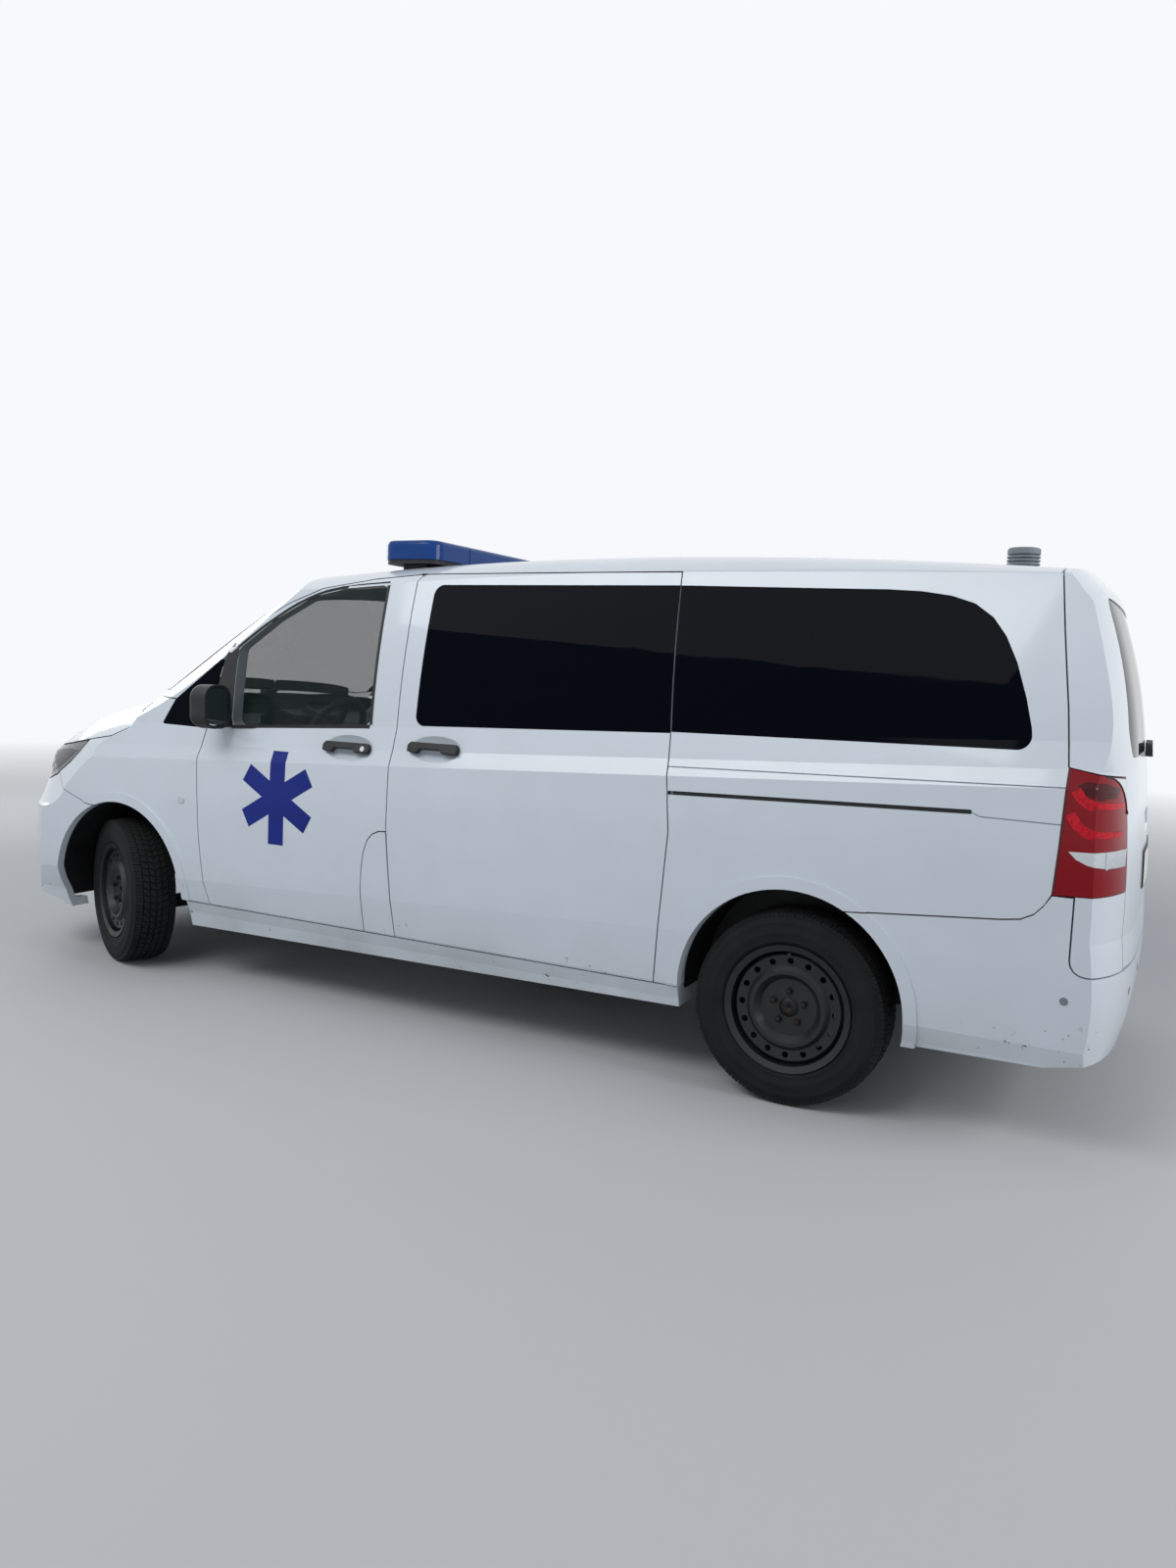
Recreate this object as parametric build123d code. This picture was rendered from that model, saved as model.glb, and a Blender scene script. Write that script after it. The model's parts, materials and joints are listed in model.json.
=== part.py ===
from build123d import *
from functools import cache
from math import cos, radians, sin
import os

# Light ambulance on a long-wheelbase panel van. Millimetres, +X forward, +Y left, +Z up,
# origin on the ground at mid-length. Left-hand pieces are modelled and mirrored to the right.

# Driving dimensions of the vehicle
LENGTH = 5140.0
WIDTH = 1928.0
HEIGHT = 1910.0
WHEELBASE = 3200.0
FRONT_OVERHANG = 895.0
FRONT_TRACK = 1666.0
REAR_TRACK = 1647.0
STEER_AT_REST = 24.0
KINGPIN_Y = 744.0
STRUT_Y = 696.0

# Walls, seams and fits
DOOR_WALL = 60.0
SKIN_WALL = 28.0
ROOF_WALL = 45.0
GLASS_WALL = 5.0
GLASS_SET_IN = 3.0
SEAM = 5.0
FIT = 0.3
FLARE_PROUD = 7.0
FLARE_BAND = 44.0

# Wheels
TYRE_R = 336.0
TYRE_W = 205.0
TREAD_W = 172.0
RIM_R = 220.0
SEAT_R = 204.0
RIM_W = 190.0
HUB_FACE_OFFSET = 60.0
HUB_BORE_R = 33.5
DISC_HOLES = 16
DISC_HOLE_R = 11.0
DISC_HOLE_CIRCLE_R = 163.0
BOLT_CIRCLE_R = 56.0

# Wheel arches
FRONT_ARCH_R = 402.0
REAR_ARCH_R = 392.0
ARCH_Z = 360.0
LINER_WALL = 6.0
FRONT_LINER_Y = 500.0
REAR_LINER_Y = 640.0

NOSE_X = LENGTH / 2
TAIL_X = -LENGTH / 2
FRONT_AXLE_X = NOSE_X - FRONT_OVERHANG
REAR_AXLE_X = FRONT_AXLE_X - WHEELBASE
SIDE_Y = WIDTH / 2 - FLARE_PROUD
ROOF_Z = HEIGHT
SILL_Z = 352.0
FLOOR_Z = 430.0
FLOOR_WALL = 45.0
FLOOR_HALF = 812.0
JACK_PAD_Z = 262.0
JACK_PAD_Y = 720.0
JACK_PADS_X = (1020.0, -900.0)

# How the lengthwise outline changes across the width. Columns: y, then how far back the tail,
# screen and nose have moved, how far down the rear roof, roof, front roof, cowl and bonnet are, and
# how far back and down the cheek beside each headlamp is.
STATIONS = [
    (0.0, 0, 0, 0, 0, 0, 0, 0, 0, 0, 0),
    (400.0, 6, 10, 30, 6, 9, 14, 4, 8, 32, 4),
    (620.0, 16, 28, 75, 18, 30, 42, 10, 26, 84, 14),
    (745.0, 32, 56, 132, 42, 90, 88, 20, 50, 158, 28),
    (870.0, 66, 104, 240, 120, 230, 190, 62, 112, 310, 62),
    (990.0, 150, 170, 450, 260, 420, 360, 160, 230, 550, 126),
]
TAIL, SCREEN, NOSE, REAR_ROOF, ROOF, FRONT_ROOF, COWL, BONNET, CHEEK, CHEEK_DROP = range(1, 11)

# The lengthwise outline on the centre plane. Columns: x, z, what moves it back, what moves it
# down, and x, z of the mid point of the curve to the next row (None for a straight run).
OUTLINE = [
    (TAIL_X + 150, 292, TAIL, None, None),
    (TAIL_X + 30, 318, TAIL, None, (TAIL_X, 520, TAIL, None)),
    (TAIL_X + 10, 700, TAIL, None, (TAIL_X + 16, 960, TAIL, None)),
    (TAIL_X + 40, 1210, TAIL, None, (TAIL_X + 82, 1500, TAIL, None)),
    (TAIL_X + 165, 1780, TAIL, REAR_ROOF, None),
    (TAIL_X + 245, ROOF_Z - 56, TAIL, REAR_ROOF, (TAIL_X + 1770, ROOF_Z, None, ROOF)),
    (NOSE_X - 1740, ROOF_Z - 62, SCREEN, FRONT_ROOF, (NOSE_X - 1270, 1570, SCREEN, FRONT_ROOF)),
    (NOSE_X - 845, 1236, SCREEN, COWL, None),
    (NOSE_X - 800, 1244, SCREEN, BONNET, (NOSE_X - 380, 1160, NOSE, BONNET)),
    (NOSE_X - 62, 998, CHEEK, BONNET, (NOSE_X - 22, 860, CHEEK, CHEEK_DROP)),
    (NOSE_X - 6, 700, NOSE, None, (NOSE_X, 480, NOSE, None)),
    (NOSE_X - 34, 262, NOSE, None, None),
    (NOSE_X - 260, 222, NOSE, None, None),
]

# The body side in cross-section. Columns: y in from the widest line, height at mid-length, and
# how much the line climbs towards the tail for each mm. The curve flag bows the run above a row.
SIDE = [
    (80.0, 180.0, 0.0, None),
    (52.0, 300.0, 0.0, None),
    (24.0, 362.0, 0.0, None),
    (5.0, 508.0, 0.044, (0.0, 770.0, 0.044)),
    (8.0, 1046.0, 0.047, None),
    (32.0, 1106.0, 0.046, None),
    (57.0, 1198.0, 0.042, (116.0, 1505.0, 0.02)),
    (211.0, 1818.0, 0.0, None),
    (360.0, 2080.0, 0.0, None),
]
SECTION_FRONT_X = NOSE_X + 60
SECTION_REAR_X = TAIL_X - 60


def outline_wire(station, inset, roof_inset):
    """The lengthwise outline at one y, moved inwards by the wall."""
    y = station[0]

    def place(x, z, back, down):
        if back is not None:
            x += station[back] if x < 0 else -station[back]
        if down is not None:
            z -= station[down]
        middle_x, middle_z = 0.0, 900.0
        on_roof = down in (ROOF, REAR_ROOF, FRONT_ROOF)
        if x < TAIL_X + 400:
            x += inset
        elif x > NOSE_X - 900:
            x -= inset
        elif down in (FRONT_ROOF, COWL):
            x -= inset
        if z > middle_z:
            z -= roof_inset if on_roof else (inset if x > middle_x else 0)
        elif z < 330:
            z += inset
        return Vector(x, y, z)

    points = [place(*row[:4]) for row in OUTLINE]
    edges = []
    for i, row in enumerate(OUTLINE):
        a, b = points[i], points[(i + 1) % len(points)]
        if row[4] is None:
            edges.append(Edge.make_line(a, b))
        else:
            edges.append(Edge.make_three_point_arc(a, place(*row[4]), b))
    return Wire(edges)


def side_wire(x, inset):
    """The body's cross-section at one x, both sides, moved inwards by the wall."""
    left = [Vector(x, SIDE_Y - row[0] - inset, row[1] - row[2] * x) for row in SIDE]
    edges = []
    for sign in (1, -1):
        for i, row in enumerate(SIDE[:-1]):
            a, b = left[i], left[i + 1]
            side = [Vector(p.X, sign * p.Y, p.Z) for p in (a, b)]
            if row[3] is None:
                edges.append(Edge.make_line(*side))
            else:
                y, z, climb = row[3]
                mid = Vector(x, sign * (SIDE_Y - y - inset), z - climb * x)
                edges.append(Edge.make_three_point_arc(side[0], mid, side[1]))
    low, high = left[0], left[-1]
    edges.append(Edge.make_line(low, Vector(x, -low.Y, low.Z)))
    edges.append(Edge.make_line(high, Vector(x, -high.Y, high.Z)))
    return Wire(edges)


def envelope(inset, roof_inset=None):
    """The whole body's outer form, or the same form a wall further in."""
    return lofted(float(inset), float(inset if roof_inset is None else roof_inset))


@cache
def lofted(inset, roof_inset):
    stations = [(-s[0], *s[1:]) for s in reversed(STATIONS[1:])] + STATIONS
    lengthwise = Solid.make_loft([outline_wire(s, inset, roof_inset) for s in stations])
    crosswise = Solid.make_loft([side_wire(SECTION_REAR_X, inset), side_wire(SECTION_FRONT_X, inset)], True)
    return lengthwise & crosswise


def solids(shape):
    """Only the real pieces of a cut, without slivers."""
    return Compound([s for s in shape.solids() if s.volume > 500.0])


def mirrored(shape):
    return mirror(shape, about=Plane.XZ)


def both(shape):
    """A left-hand piece with its right-hand twin."""
    return Compound(shape.solids() + mirrored(shape).solids())


def outline_face(points, radius=0.0, grow=0.0):
    line = FilletPolyline(*points, radius=radius, close=True) if radius else Polyline(*points, close=True)
    face = make_face(line)
    return offset(face, grow) if grow else face


def side_prism(points, y0=600.0, y1=1000.0, radius=0.0, grow=0.0):
    """A side-view outline (x, z) pushed across the body from y0 to y1."""
    plane = Plane(origin=(0, y1, 0), x_dir=(1, 0, 0), z_dir=(0, -1, 0))
    return extrude(plane * outline_face(points, radius, grow), y1 - y0)


def plan_prism(points, z0, z1, radius=0.0, grow=0.0):
    """A plan-view outline (x, y) pushed up from z0 to z1."""
    return extrude(Plane.XY.offset(z0) * outline_face(points, radius, grow), z1 - z0)


def end_prism(points, x0, x1, radius=0.0, grow=0.0):
    """An end-view outline (y, z) pushed along the body from x0 to x1."""
    plane = Plane(origin=(x0, 0, 0), x_dir=(0, 1, 0), z_dir=(1, 0, 0))
    return extrude(plane * outline_face(points, radius, grow), x1 - x0)


def block(x0, x1, y0, y1, z0, z1, radius=0.0):
    """A box between two corners, its upright edges rounded if a radius is given."""
    box = Pos((x0 + x1) / 2, (y0 + y1) / 2, (z0 + z1) / 2) * Box(x1 - x0, y1 - y0, z1 - z0)
    return fillet(box.edges().filter_by(Axis.Z), radius) if radius else box


def cross_tube(x, z, radius, y0, y1):
    """A round bar or a round cut across the body."""
    return Pos(x, (y0 + y1) / 2, z) * Rot(90, 0, 0) * Cylinder(radius, y1 - y0)


def turned(profile, x, y, z):
    """A closed outline of (radius, distance outboard) turned about a wheel's axle at x, y, z."""
    face = make_face(Polyline(*profile, close=True))
    ring = revolve(face, Axis.Y)
    return Pos(x, y, z) * ring


# Seams in side view, (x, z)
HALF = SEAM / 2
ROOF_SEAM = [(-2600, 1800), (-2272, 1809), (-996, 1818), (165, 1816), (399, 1796), (644, 1752), (806, 1689),
             (966, 1602), (1094, 1520), (1116, 1448)]
DOOR_FRONT_SEAM = [(1167, 1127), (1182, 1010), (1173, 860), (1158, 655), (1131, 450), (1108, SILL_Z)]
PILLAR_SEAM = [(163, 1816), (140, 1195), (140, 800), (99, SILL_Z)]
FUEL_FLAP = [(142.5, 776), (176, 773), (206, 759), (229, 733), (245, 690), (256, 620), (260, 540),
             (253, SILL_Z + SEAM / 2), (101.5, SILL_Z + SEAM / 2)]
SLIDE_REAR_SEAM = [(-994, 1818), (-1045, 1240), (-1077, 900), (-1064, 690), (-1038, SILL_Z)]
TAILGATE_SEAM = [(-2268, 1960), (-2272, 1809), (-2294, 1637), (-2328, 1392), (-2345, 1222)]
LAMP_TOP_Z = 1218.0
LAMP_LOW_Z = 838.0
LAMP_FRONT = [(-2345, LAMP_TOP_Z), (-2336, 980), (-2328, LAMP_LOW_Z)]
LAMP_Y = 772.0
BUMPER_SEAM = [(-1700, 703), (-2190, 744), (-2246, 752), (-2284, 772), (-2310, 802), (-2328, LAMP_LOW_Z)]
RAIL_SLOT = [(-1000, 1029), (-2082, 1057), (-2082, 1071), (-1000, 1043)]
RAIL_END_SEAM = [(-2078, 1062), (-2106, 1050), (-2420, 1046), (-2420, 1050), (-2108, 1054), (-2078, 1067)]
UPPER_SEAM = [(-1000, 1124), (-2420, 1159), (-2420, 1163), (-1000, 1128)]
CORNER_X = -2392.0
CORNER_R = 45.0
TAILGATE_LOW_Z = 606.0
BONNET_SEAM = [(1585, 1260), (1600, 1180), (1655, 1105), (1760, 1060), (1930, 1034), (2120, 1003), (2330, 975),
               (2640, 943)]
FRONT_BUMPER_SEAM = [(1850, 735), (1880, 740), (2040, 792), (2125, 862)]
HEADLAMP = [(1945, 1026), (2120, 998), (2330, 970), (2640, 938), (2640, 802), (2300, 814), (2146, 856),
            (2052, 918), (1985, 975)]
HEADLAMP_Y = 425.0
GRILLE_LOW_Z = 794.0
GRILLE_HIGH_Z = 948.0

# Windows in side view (x, z), end view (y, z) and plan (x, y)
DOOR_WINDOW = [(1025, 1152), (1046, 1483), (874, 1613), (684, 1717), (508, 1753), (300, 1768), (272, 1194)]
QUARTER_WINDOW = [(1447, 1135), (1176, 1131), (1124, 1446), (1382, 1247)]
SLIDE_WINDOW = [(54, 1204), (68, 1768), (-1060, 1768), (-1110, 1245)]
REAR_WINDOW = [(-980, 1246), (-930, 1769), (-1520, 1759), (-1740, 1756), (-1850, 1750), (-1945, 1736), (-2022, 1711),
               (-2083, 1667), (-2128, 1608), (-2168, 1528), (-2206, 1420), (-2230, 1330), (-2239, 1262)]
WINDOW_LAND = 24.0
TAILGATE_WINDOW = [(-650, 1745), (650, 1745), (722, 1330), (670, 1248), (-670, 1248), (-722, 1330)]
COWL_REAR = [(1690, 0), (1681, 350), (1640, 690), (1560, 850)]
COWL_DEPTH = 58.0
COWL_Y = 790.0
WINDSCREEN_TOP_X = 885.0
WINDSCREEN_TOP_Y = 640.0
WINDOW_R = 42.0

# Hollow forms that the panels are cut from
OUTER = envelope(0.0)
DOOR_INNER = envelope(DOOR_WALL, ROOF_WALL)
SKIN_INNER = envelope(SKIN_WALL, SKIN_WALL)
FLARE_SHELL = envelope(-FLARE_PROUD, 0.0) - SKIN_INNER
WALL = OUTER - DOOR_INNER
SKIN = OUTER - SKIN_INNER
ROOF_SHELL = OUTER - envelope(ROOF_WALL)
GLASS = envelope(GLASS_SET_IN) - envelope(GLASS_SET_IN + GLASS_WALL)
BEHIND_GLASS = envelope(GLASS_SET_IN + GLASS_WALL + FIT)
BEHIND_DOORS = envelope(DOOR_WALL + FIT, ROOF_WALL + FIT)
FRAME = BEHIND_DOORS - envelope(DOOR_WALL + 52.0, ROOF_WALL + 40.0)
BEHIND_SKIN = envelope(SKIN_WALL + FIT)
OUTSIDE = envelope(-FIT)
WIPER_BAND = envelope(-24.0) - OUTSIDE

FRONT_ARCH = cross_tube(FRONT_AXLE_X, ARCH_Z, FRONT_ARCH_R, 400, 1100)
REAR_ARCH = cross_tube(REAR_AXLE_X, ARCH_Z, REAR_ARCH_R, REAR_LINER_Y - 60, 1100)
PANEL_Y = 684.0


def flare(axle_x, arch_r, panel_region):
    """The raised lip round a wheel arch, where it crosses one panel."""
    ring = cross_tube(axle_x, ARCH_Z, arch_r + FLARE_BAND, 800, 1000) - cross_tube(axle_x, ARCH_Z, arch_r, 790, 1010)
    return FLARE_SHELL & ring & panel_region


def beside_seam(gap, rear):
    """All that lies ahead of the sliding door's rear seam, or behind it, from a gap off its middle."""
    far, edge = (-2600, -gap) if rear else (600, gap)
    return side_prism([(far, 2000), (-978 + edge, 2000), (-1057 + edge, 1100), (far, 1100)])


def glazed(panel, window, rear):
    """A panel cut for glass bonded into a rebate that runs out at the seam; the glass rests on a land."""
    rebate = side_prism(window, radius=WINDOW_R, grow=FIT) - BEHIND_GLASS
    opening = side_prism(window, radius=WINDOW_R, grow=-WINDOW_LAND) & beside_seam(WINDOW_LAND + HALF, rear)
    return panel - rebate - opening


def edge_relief():
    """The inner half of both door edges at the centre post is set back, so that the front door can swing past."""
    return side_prism([(204, 1900), (102, 1900), (84, 1000), (186, 1000)], PANEL_Y) & SKIN_INNER


FRONT_HANDLE = (364.0, 1096.0)
SLIDE_HANDLE = (-61.0, 1119.0)
GRIP_PROUD = 24.0
SHOULDER_TILT = 17.0
SHOULDER_Y = 921.0
CUP_DEPTH = 19.0
CUP_RING_R = 275.0
CUP_R = 75.0


def on_shoulder(at, shape):
    """Sets a shape made on the origin, facing +Y, on the sloping shoulder of a left-hand door."""
    return Pos(at[0], SHOULDER_Y, at[1]) * Rot(SHOULDER_TILT, 0, 0) * shape


def handle_cup(at, fit=0.0):
    """The shallow scoop behind a door handle, cut by the rim of a large ring."""
    return on_shoulder(at, Pos(0, CUP_RING_R + CUP_R - CUP_DEPTH, 0) * Torus(CUP_RING_R, CUP_R - fit))


def front_door():
    seam = [(x - HALF, z) for x, z in DOOR_FRONT_SEAM[:-1]]
    seam += [(DOOR_FRONT_SEAM[-1][0] - HALF, SILL_Z + HALF), (PILLAR_SEAM[-1][0] + HALF, SILL_Z + HALF)]
    seam += [(x + HALF, z) for x, z in reversed(PILLAR_SEAM[1:-1])]
    seam += [(PILLAR_SEAM[0][0] + HALF, ROOF_SEAM[3][1] - HALF)]
    seam += [(x - HALF / 2, z - HALF) for x, z in ROOF_SEAM[4:-1]] + [(ROOF_SEAM[-1][0] - HALF, ROOF_SEAM[-1][1])]
    door = (WALL & side_prism(seam, PANEL_Y)) - side_prism(DOOR_WINDOW, radius=34, grow=FIT)
    return solids(door - edge_relief() - handle_cup(FRONT_HANDLE))


def fuel_flap():
    """Fixed filler flap behind the left front door, let into the door's lower rear corner."""
    return solids(WALL & side_prism(FUEL_FLAP, PANEL_Y))


def sliding_door():
    seam = [(PILLAR_SEAM[0][0] - HALF, ROOF_SEAM[3][1] - HALF)] + [(x - HALF, z) for x, z in PILLAR_SEAM[1:-1]]
    seam += [(PILLAR_SEAM[-1][0] - HALF, SILL_Z + HALF), (SLIDE_REAR_SEAM[-1][0] + HALF, SILL_Z + HALF)]
    seam += [(x + HALF, z) for x, z in reversed(SLIDE_REAR_SEAM[1:-1])]
    seam += [(SLIDE_REAR_SEAM[0][0] + HALF, ROOF_SEAM[2][1] - HALF)]
    door = glazed(WALL & side_prism(seam, PANEL_Y), SLIDE_WINDOW, False)
    return solids(door - edge_relief() - handle_cup(SLIDE_HANDLE))


def rear_side():
    """Rear quarter: it meets the roof without a gap, and carries the sliding door's rail slot."""
    under_roof = HALF - FIT
    seam = [(SLIDE_REAR_SEAM[0][0] - HALF, ROOF_SEAM[2][1] + under_roof)]
    seam += [(x - HALF, z) for x, z in SLIDE_REAR_SEAM[1:-1]]
    seam += [(SLIDE_REAR_SEAM[-1][0] - HALF, SILL_Z + HALF), (-1300, SILL_Z + HALF), (-1640, 600)]
    seam += [(x, z + HALF) for x, z in BUMPER_SEAM[:-1]] + [(x + FIT, z) for x, z in reversed(LAMP_FRONT)]
    seam += [(x + HALF, z) for x, z in reversed(TAILGATE_SEAM[2:])]
    seam += [(TAILGATE_SEAM[1][0] + HALF, TAILGATE_SEAM[1][1] + under_roof)]
    area = side_prism(seam, PANEL_Y)
    panel = (WALL & area) - REAR_ARCH + flare(REAR_AXLE_X, REAR_ARCH_R, area)
    panel -= side_prism(RAIL_SLOT) - SKIN_INNER
    panel -= (side_prism(RAIL_END_SEAM) + side_prism(UPPER_SEAM)) - BEHIND_GLASS
    return solids(glazed(panel, REAR_WINDOW, True))


def cowl_line(ahead, inset=0.0):
    """The curve where the windscreen meets the cowl, both sides, moved ahead."""
    right = [(x + ahead, -y + inset) for x, y in reversed(COWL_REAR[1:])]
    return right + [(x + ahead, y - inset) for x, y in COWL_REAR]


def windscreen_outline(ahead):
    side = [(x, y) for x, y in cowl_line(ahead) if abs(y) < 700]
    return side + [(1600, 757), (WINDSCREEN_TOP_X, WINDSCREEN_TOP_Y), (WINDSCREEN_TOP_X, -WINDSCREEN_TOP_Y),
                   (1600, -757)]


def roof_with_pillars():
    """Roof skin, windscreen header and both screen pillars: one pressing above the door seams."""
    above = [(TAILGATE_SEAM[0][0] + HALF, 1700), *[(x, z + HALF) for x, z in ROOF_SEAM[2:-1]], (1119, 1448),
             (1330, 1250), (1592, 1264), (1900, 1264), (1900, 2200), (TAILGATE_SEAM[0][0] + HALF, 2200)]
    above[1:1] = [(TAILGATE_SEAM[0][0] + HALF, ROOF_SEAM[1][1] + HALF)]
    shell = ROOF_SHELL & side_prism(above[1:], -1000, 1000)
    base_x = COWL_REAR[-1][0]
    ahead = [(-2600, -1000), (base_x, -1000), *cowl_line(0.0), (base_x, 1000), (-2600, 1000)]
    shell = shell & plan_prism(ahead, 1000, 2100)
    shell -= plan_prism(windscreen_outline(2 * SEAM), 1000, 2100, radius=30, grow=FIT)
    quarter = side_prism(QUARTER_WINDOW, radius=8, grow=FIT)
    return solids(shell - quarter - mirrored(quarter))


def windscreen():
    return solids(GLASS & plan_prism(windscreen_outline(-FIT), 1150, 2100, radius=30))


def tailgate():
    """Top-hinged tailgate: it wraps round the upper corners and drops between the lamps."""
    wrap = [(x - HALF, z) for x, z in TAILGATE_SEAM[:-1]] + [(TAILGATE_SEAM[-1][0] - HALF, LAMP_TOP_Z + HALF)]
    wrap += [(-2700, LAMP_TOP_Z + HALF - 60), (-2700, 1960)]
    between = block(-2700, -2300, -LAMP_Y + SEAM, LAMP_Y - SEAM, TAILGATE_LOW_Z, LAMP_TOP_Z + 60)
    door = WALL & (side_prism(wrap, -1000, 1000) + between)
    handle = cross_tube(-2566, 1010, 42, -190, 190)
    return solids(door - end_prism(TAILGATE_WINDOW, -2700, -2300, 60, FIT) - handle)


def tail_lamp():
    edge = [(x, z) for x, z in LAMP_FRONT]
    area = side_prism([*edge, (-2700, LAMP_LOW_Z + 14), (-2700, LAMP_TOP_Z - 64)], LAMP_Y, 1000)
    return solids(WALL & area)


def eased_corner(x, z, r):
    """A lower front corner at (x, z), rounded in short runs."""
    return [(x - r + r * cos(radians(a)), z + r - r * sin(radians(a))) for a in (0, 22.5, 45, 67.5, 90)]


def rear_corner():
    """The fixed panel below each lamp, let into the bumper."""
    low_z = TAILGATE_LOW_Z - SEAM
    area = side_prism([(CORNER_X - HALF, LAMP_LOW_Z - FIT), *eased_corner(CORNER_X - HALF, low_z, CORNER_R),
                       (-2700, low_z), (-2700, LAMP_LOW_Z + 12)], LAMP_Y, 1000)
    return solids(WALL & area)


def rear_bumper():
    low_z = TAILGATE_LOW_Z - 2 * SEAM
    seam = [(-1600, 200), (-1600, 690), *[(x, z - HALF) for x, z in BUMPER_SEAM[:-1]],
            (BUMPER_SEAM[-1][0] - HALF, LAMP_LOW_Z - SEAM), (CORNER_X + HALF, LAMP_LOW_Z - SEAM),
            *eased_corner(CORNER_X + HALF, low_z, CORNER_R + SEAM), (-2700, low_z), (-2700, 200)]
    area = side_prism(seam, 500)
    half_shell = SKIN & (area + mirrored(area) + block(-2700, -2400, -520, 520, 200, low_z))
    half_shell -= plan_prism([(-1500, -866), (-1500, 866), (-2330, 866), (-2440, 700), (-2440, -700), (-2330, -866)],
                             200, 345)
    lip = flare(REAR_AXLE_X, REAR_ARCH_R, area)
    return solids(half_shell - REAR_ARCH - mirrored(REAR_ARCH) + lip + mirrored(lip))


def fender():
    seam = [(DOOR_FRONT_SEAM[-1][0] + HALF, SILL_Z + HALF)]
    seam += [(x + HALF, z) for x, z in reversed(DOOR_FRONT_SEAM[1:-1])] + [(1171, 1127)]
    seam += [(1178, 1137), (1330, 1245), (1588, 1257), (1597, 1180)] + [(x, z - HALF) for x, z in BONNET_SEAM[2:5]]
    seam += [(1940, 1024), (1980, 971), (2046, 912)]
    seam += [(x - 1, z + HALF) for x, z in reversed(FRONT_BUMPER_SEAM)]
    seam += [(1800, FRONT_BUMPER_SEAM[0][1] + HALF), (1700, 600), (1400, SILL_Z + HALF)]
    screen_base = plan_prism([*cowl_line(COWL_DEPTH + SEAM), (1000, COWL_Y + SEAM), (1000, -COWL_Y - SEAM)], 1120, 1400)
    screen_base = screen_base & block(900, 1900, -COWL_Y - SEAM, COWL_Y + SEAM, 1100, 1500)
    area = side_prism(seam, 430) - screen_base
    panel = (SKIN & area) - FRONT_ARCH + flare(FRONT_AXLE_X, FRONT_ARCH_R, area)
    return solids(panel - side_prism(QUARTER_WINDOW, radius=8, grow=FIT))


def bonnet():
    above = [(x, z + HALF) for x, z in BONNET_SEAM[1:]] + [(2640, 1400), (1500, 1400), (1500, 1262), (1592, 1262)]
    ahead = cowl_line(COWL_DEPTH + SEAM)
    plan = plan_prism([(2700, -1000), (1530, -1000), *ahead, (1530, 1000), (2700, 1000)], 850, 1400)
    return solids(SKIN & side_prism(above, -1000, 1000) & plan)


def cowl():
    """Vented plastic panel between the windscreen and the bonnet."""
    strip = [*cowl_line(FIT), *reversed(cowl_line(COWL_DEPTH))]
    panel = SKIN & plan_prism(strip, 1150, 1300) & block(1400, 1900, -COWL_Y, COWL_Y, 1100, 1400)
    slot = 26.0
    for i in range(-7, 8):
        panel -= Pos(1714 - 0.11 * abs(i) * slot, i * 2.6 * slot, 1230) * Box(slot, 1.6 * slot, 200)
    return solids(panel)


def headlamp():
    return solids(WALL & side_prism(HEADLAMP, HEADLAMP_Y, 1000, radius=6))


def grille():
    """Slatted grille between the headlamps: a frame and three full-width slats."""
    y = HEADLAMP_Y - SEAM
    opening = block(2300, 2700, -y + 22, y - 22, GRILLE_LOW_Z + 18, GRILLE_HIGH_Z - 16)
    slats = Part() + [block(2300, 2700, -y, y, z, z + 15) for z in (833, 868, 903)]
    area = block(2300, 2700, -y, y, GRILLE_LOW_Z, GRILLE_HIGH_Z)
    return solids(SKIN & (area - opening + slats))


def front_bumper():
    low = [(1800, 180), (1800, 732)] + [(x, z - HALF) for x, z in FRONT_BUMPER_SEAM]
    low += [(2146, 849), (2300, 808), (2640, 796), (2640, GRILLE_LOW_Z - SEAM), (2700, GRILLE_LOW_Z - SEAM), (2700, 180)]
    area = side_prism(low, HEADLAMP_Y)
    middle = block(2200, 2700, -HEADLAMP_Y, HEADLAMP_Y, 180, GRILLE_LOW_Z - SEAM)
    shell = SKIN & (area + mirrored(area) + middle)
    shell -= block(1500, 2312, -866, 866, 150, 300)
    intake = end_prism([(-560, 300), (560, 300), (500, 440), (-500, 440)], 2200, 2700, 24)
    fog = end_prism([(640, 330), (800, 350), (790, 440), (650, 440)], 2150, 2700, 20)
    shell = shell - intake - fog - mirrored(fog) - FRONT_ARCH - mirrored(FRONT_ARCH)
    lip = flare(FRONT_AXLE_X, FRONT_ARCH_R, area)
    return solids(shell + lip + mirrored(lip))


def lower_grille():
    """Black slats in the bumper's air intake."""
    frame = end_prism([(-560, 300), (560, 300), (500, 440), (-500, 440)], 2200, 2700, 24, -FIT)
    hole = end_prism([(-540, 316), (540, 316), (485, 426), (-485, 426)], 2200, 2700, 12)
    slats = Part() + [block(2200, 2700, -530, 530, z, z + 10) for z in (340, 366, 392)]
    deep = envelope(GLASS_SET_IN + GLASS_WALL) - SKIN_INNER
    return solids(deep & frame & (frame - hole + slats))


def side_glass(points, radius=WINDOW_R):
    return solids(GLASS & side_prism(points, radius=radius))


def tinted_side_glass():
    """Quarter, sliding-door and rear side windows."""
    quarter = side_glass(QUARTER_WINDOW, 8)
    slide = side_glass(SLIDE_WINDOW) & beside_seam(HALF + 1, False)
    rear = side_glass(REAR_WINDOW) & beside_seam(HALF + 1, True)
    return both(Compound(solids(quarter).solids() + solids(slide).solids() + solids(rear).solids()))


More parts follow.
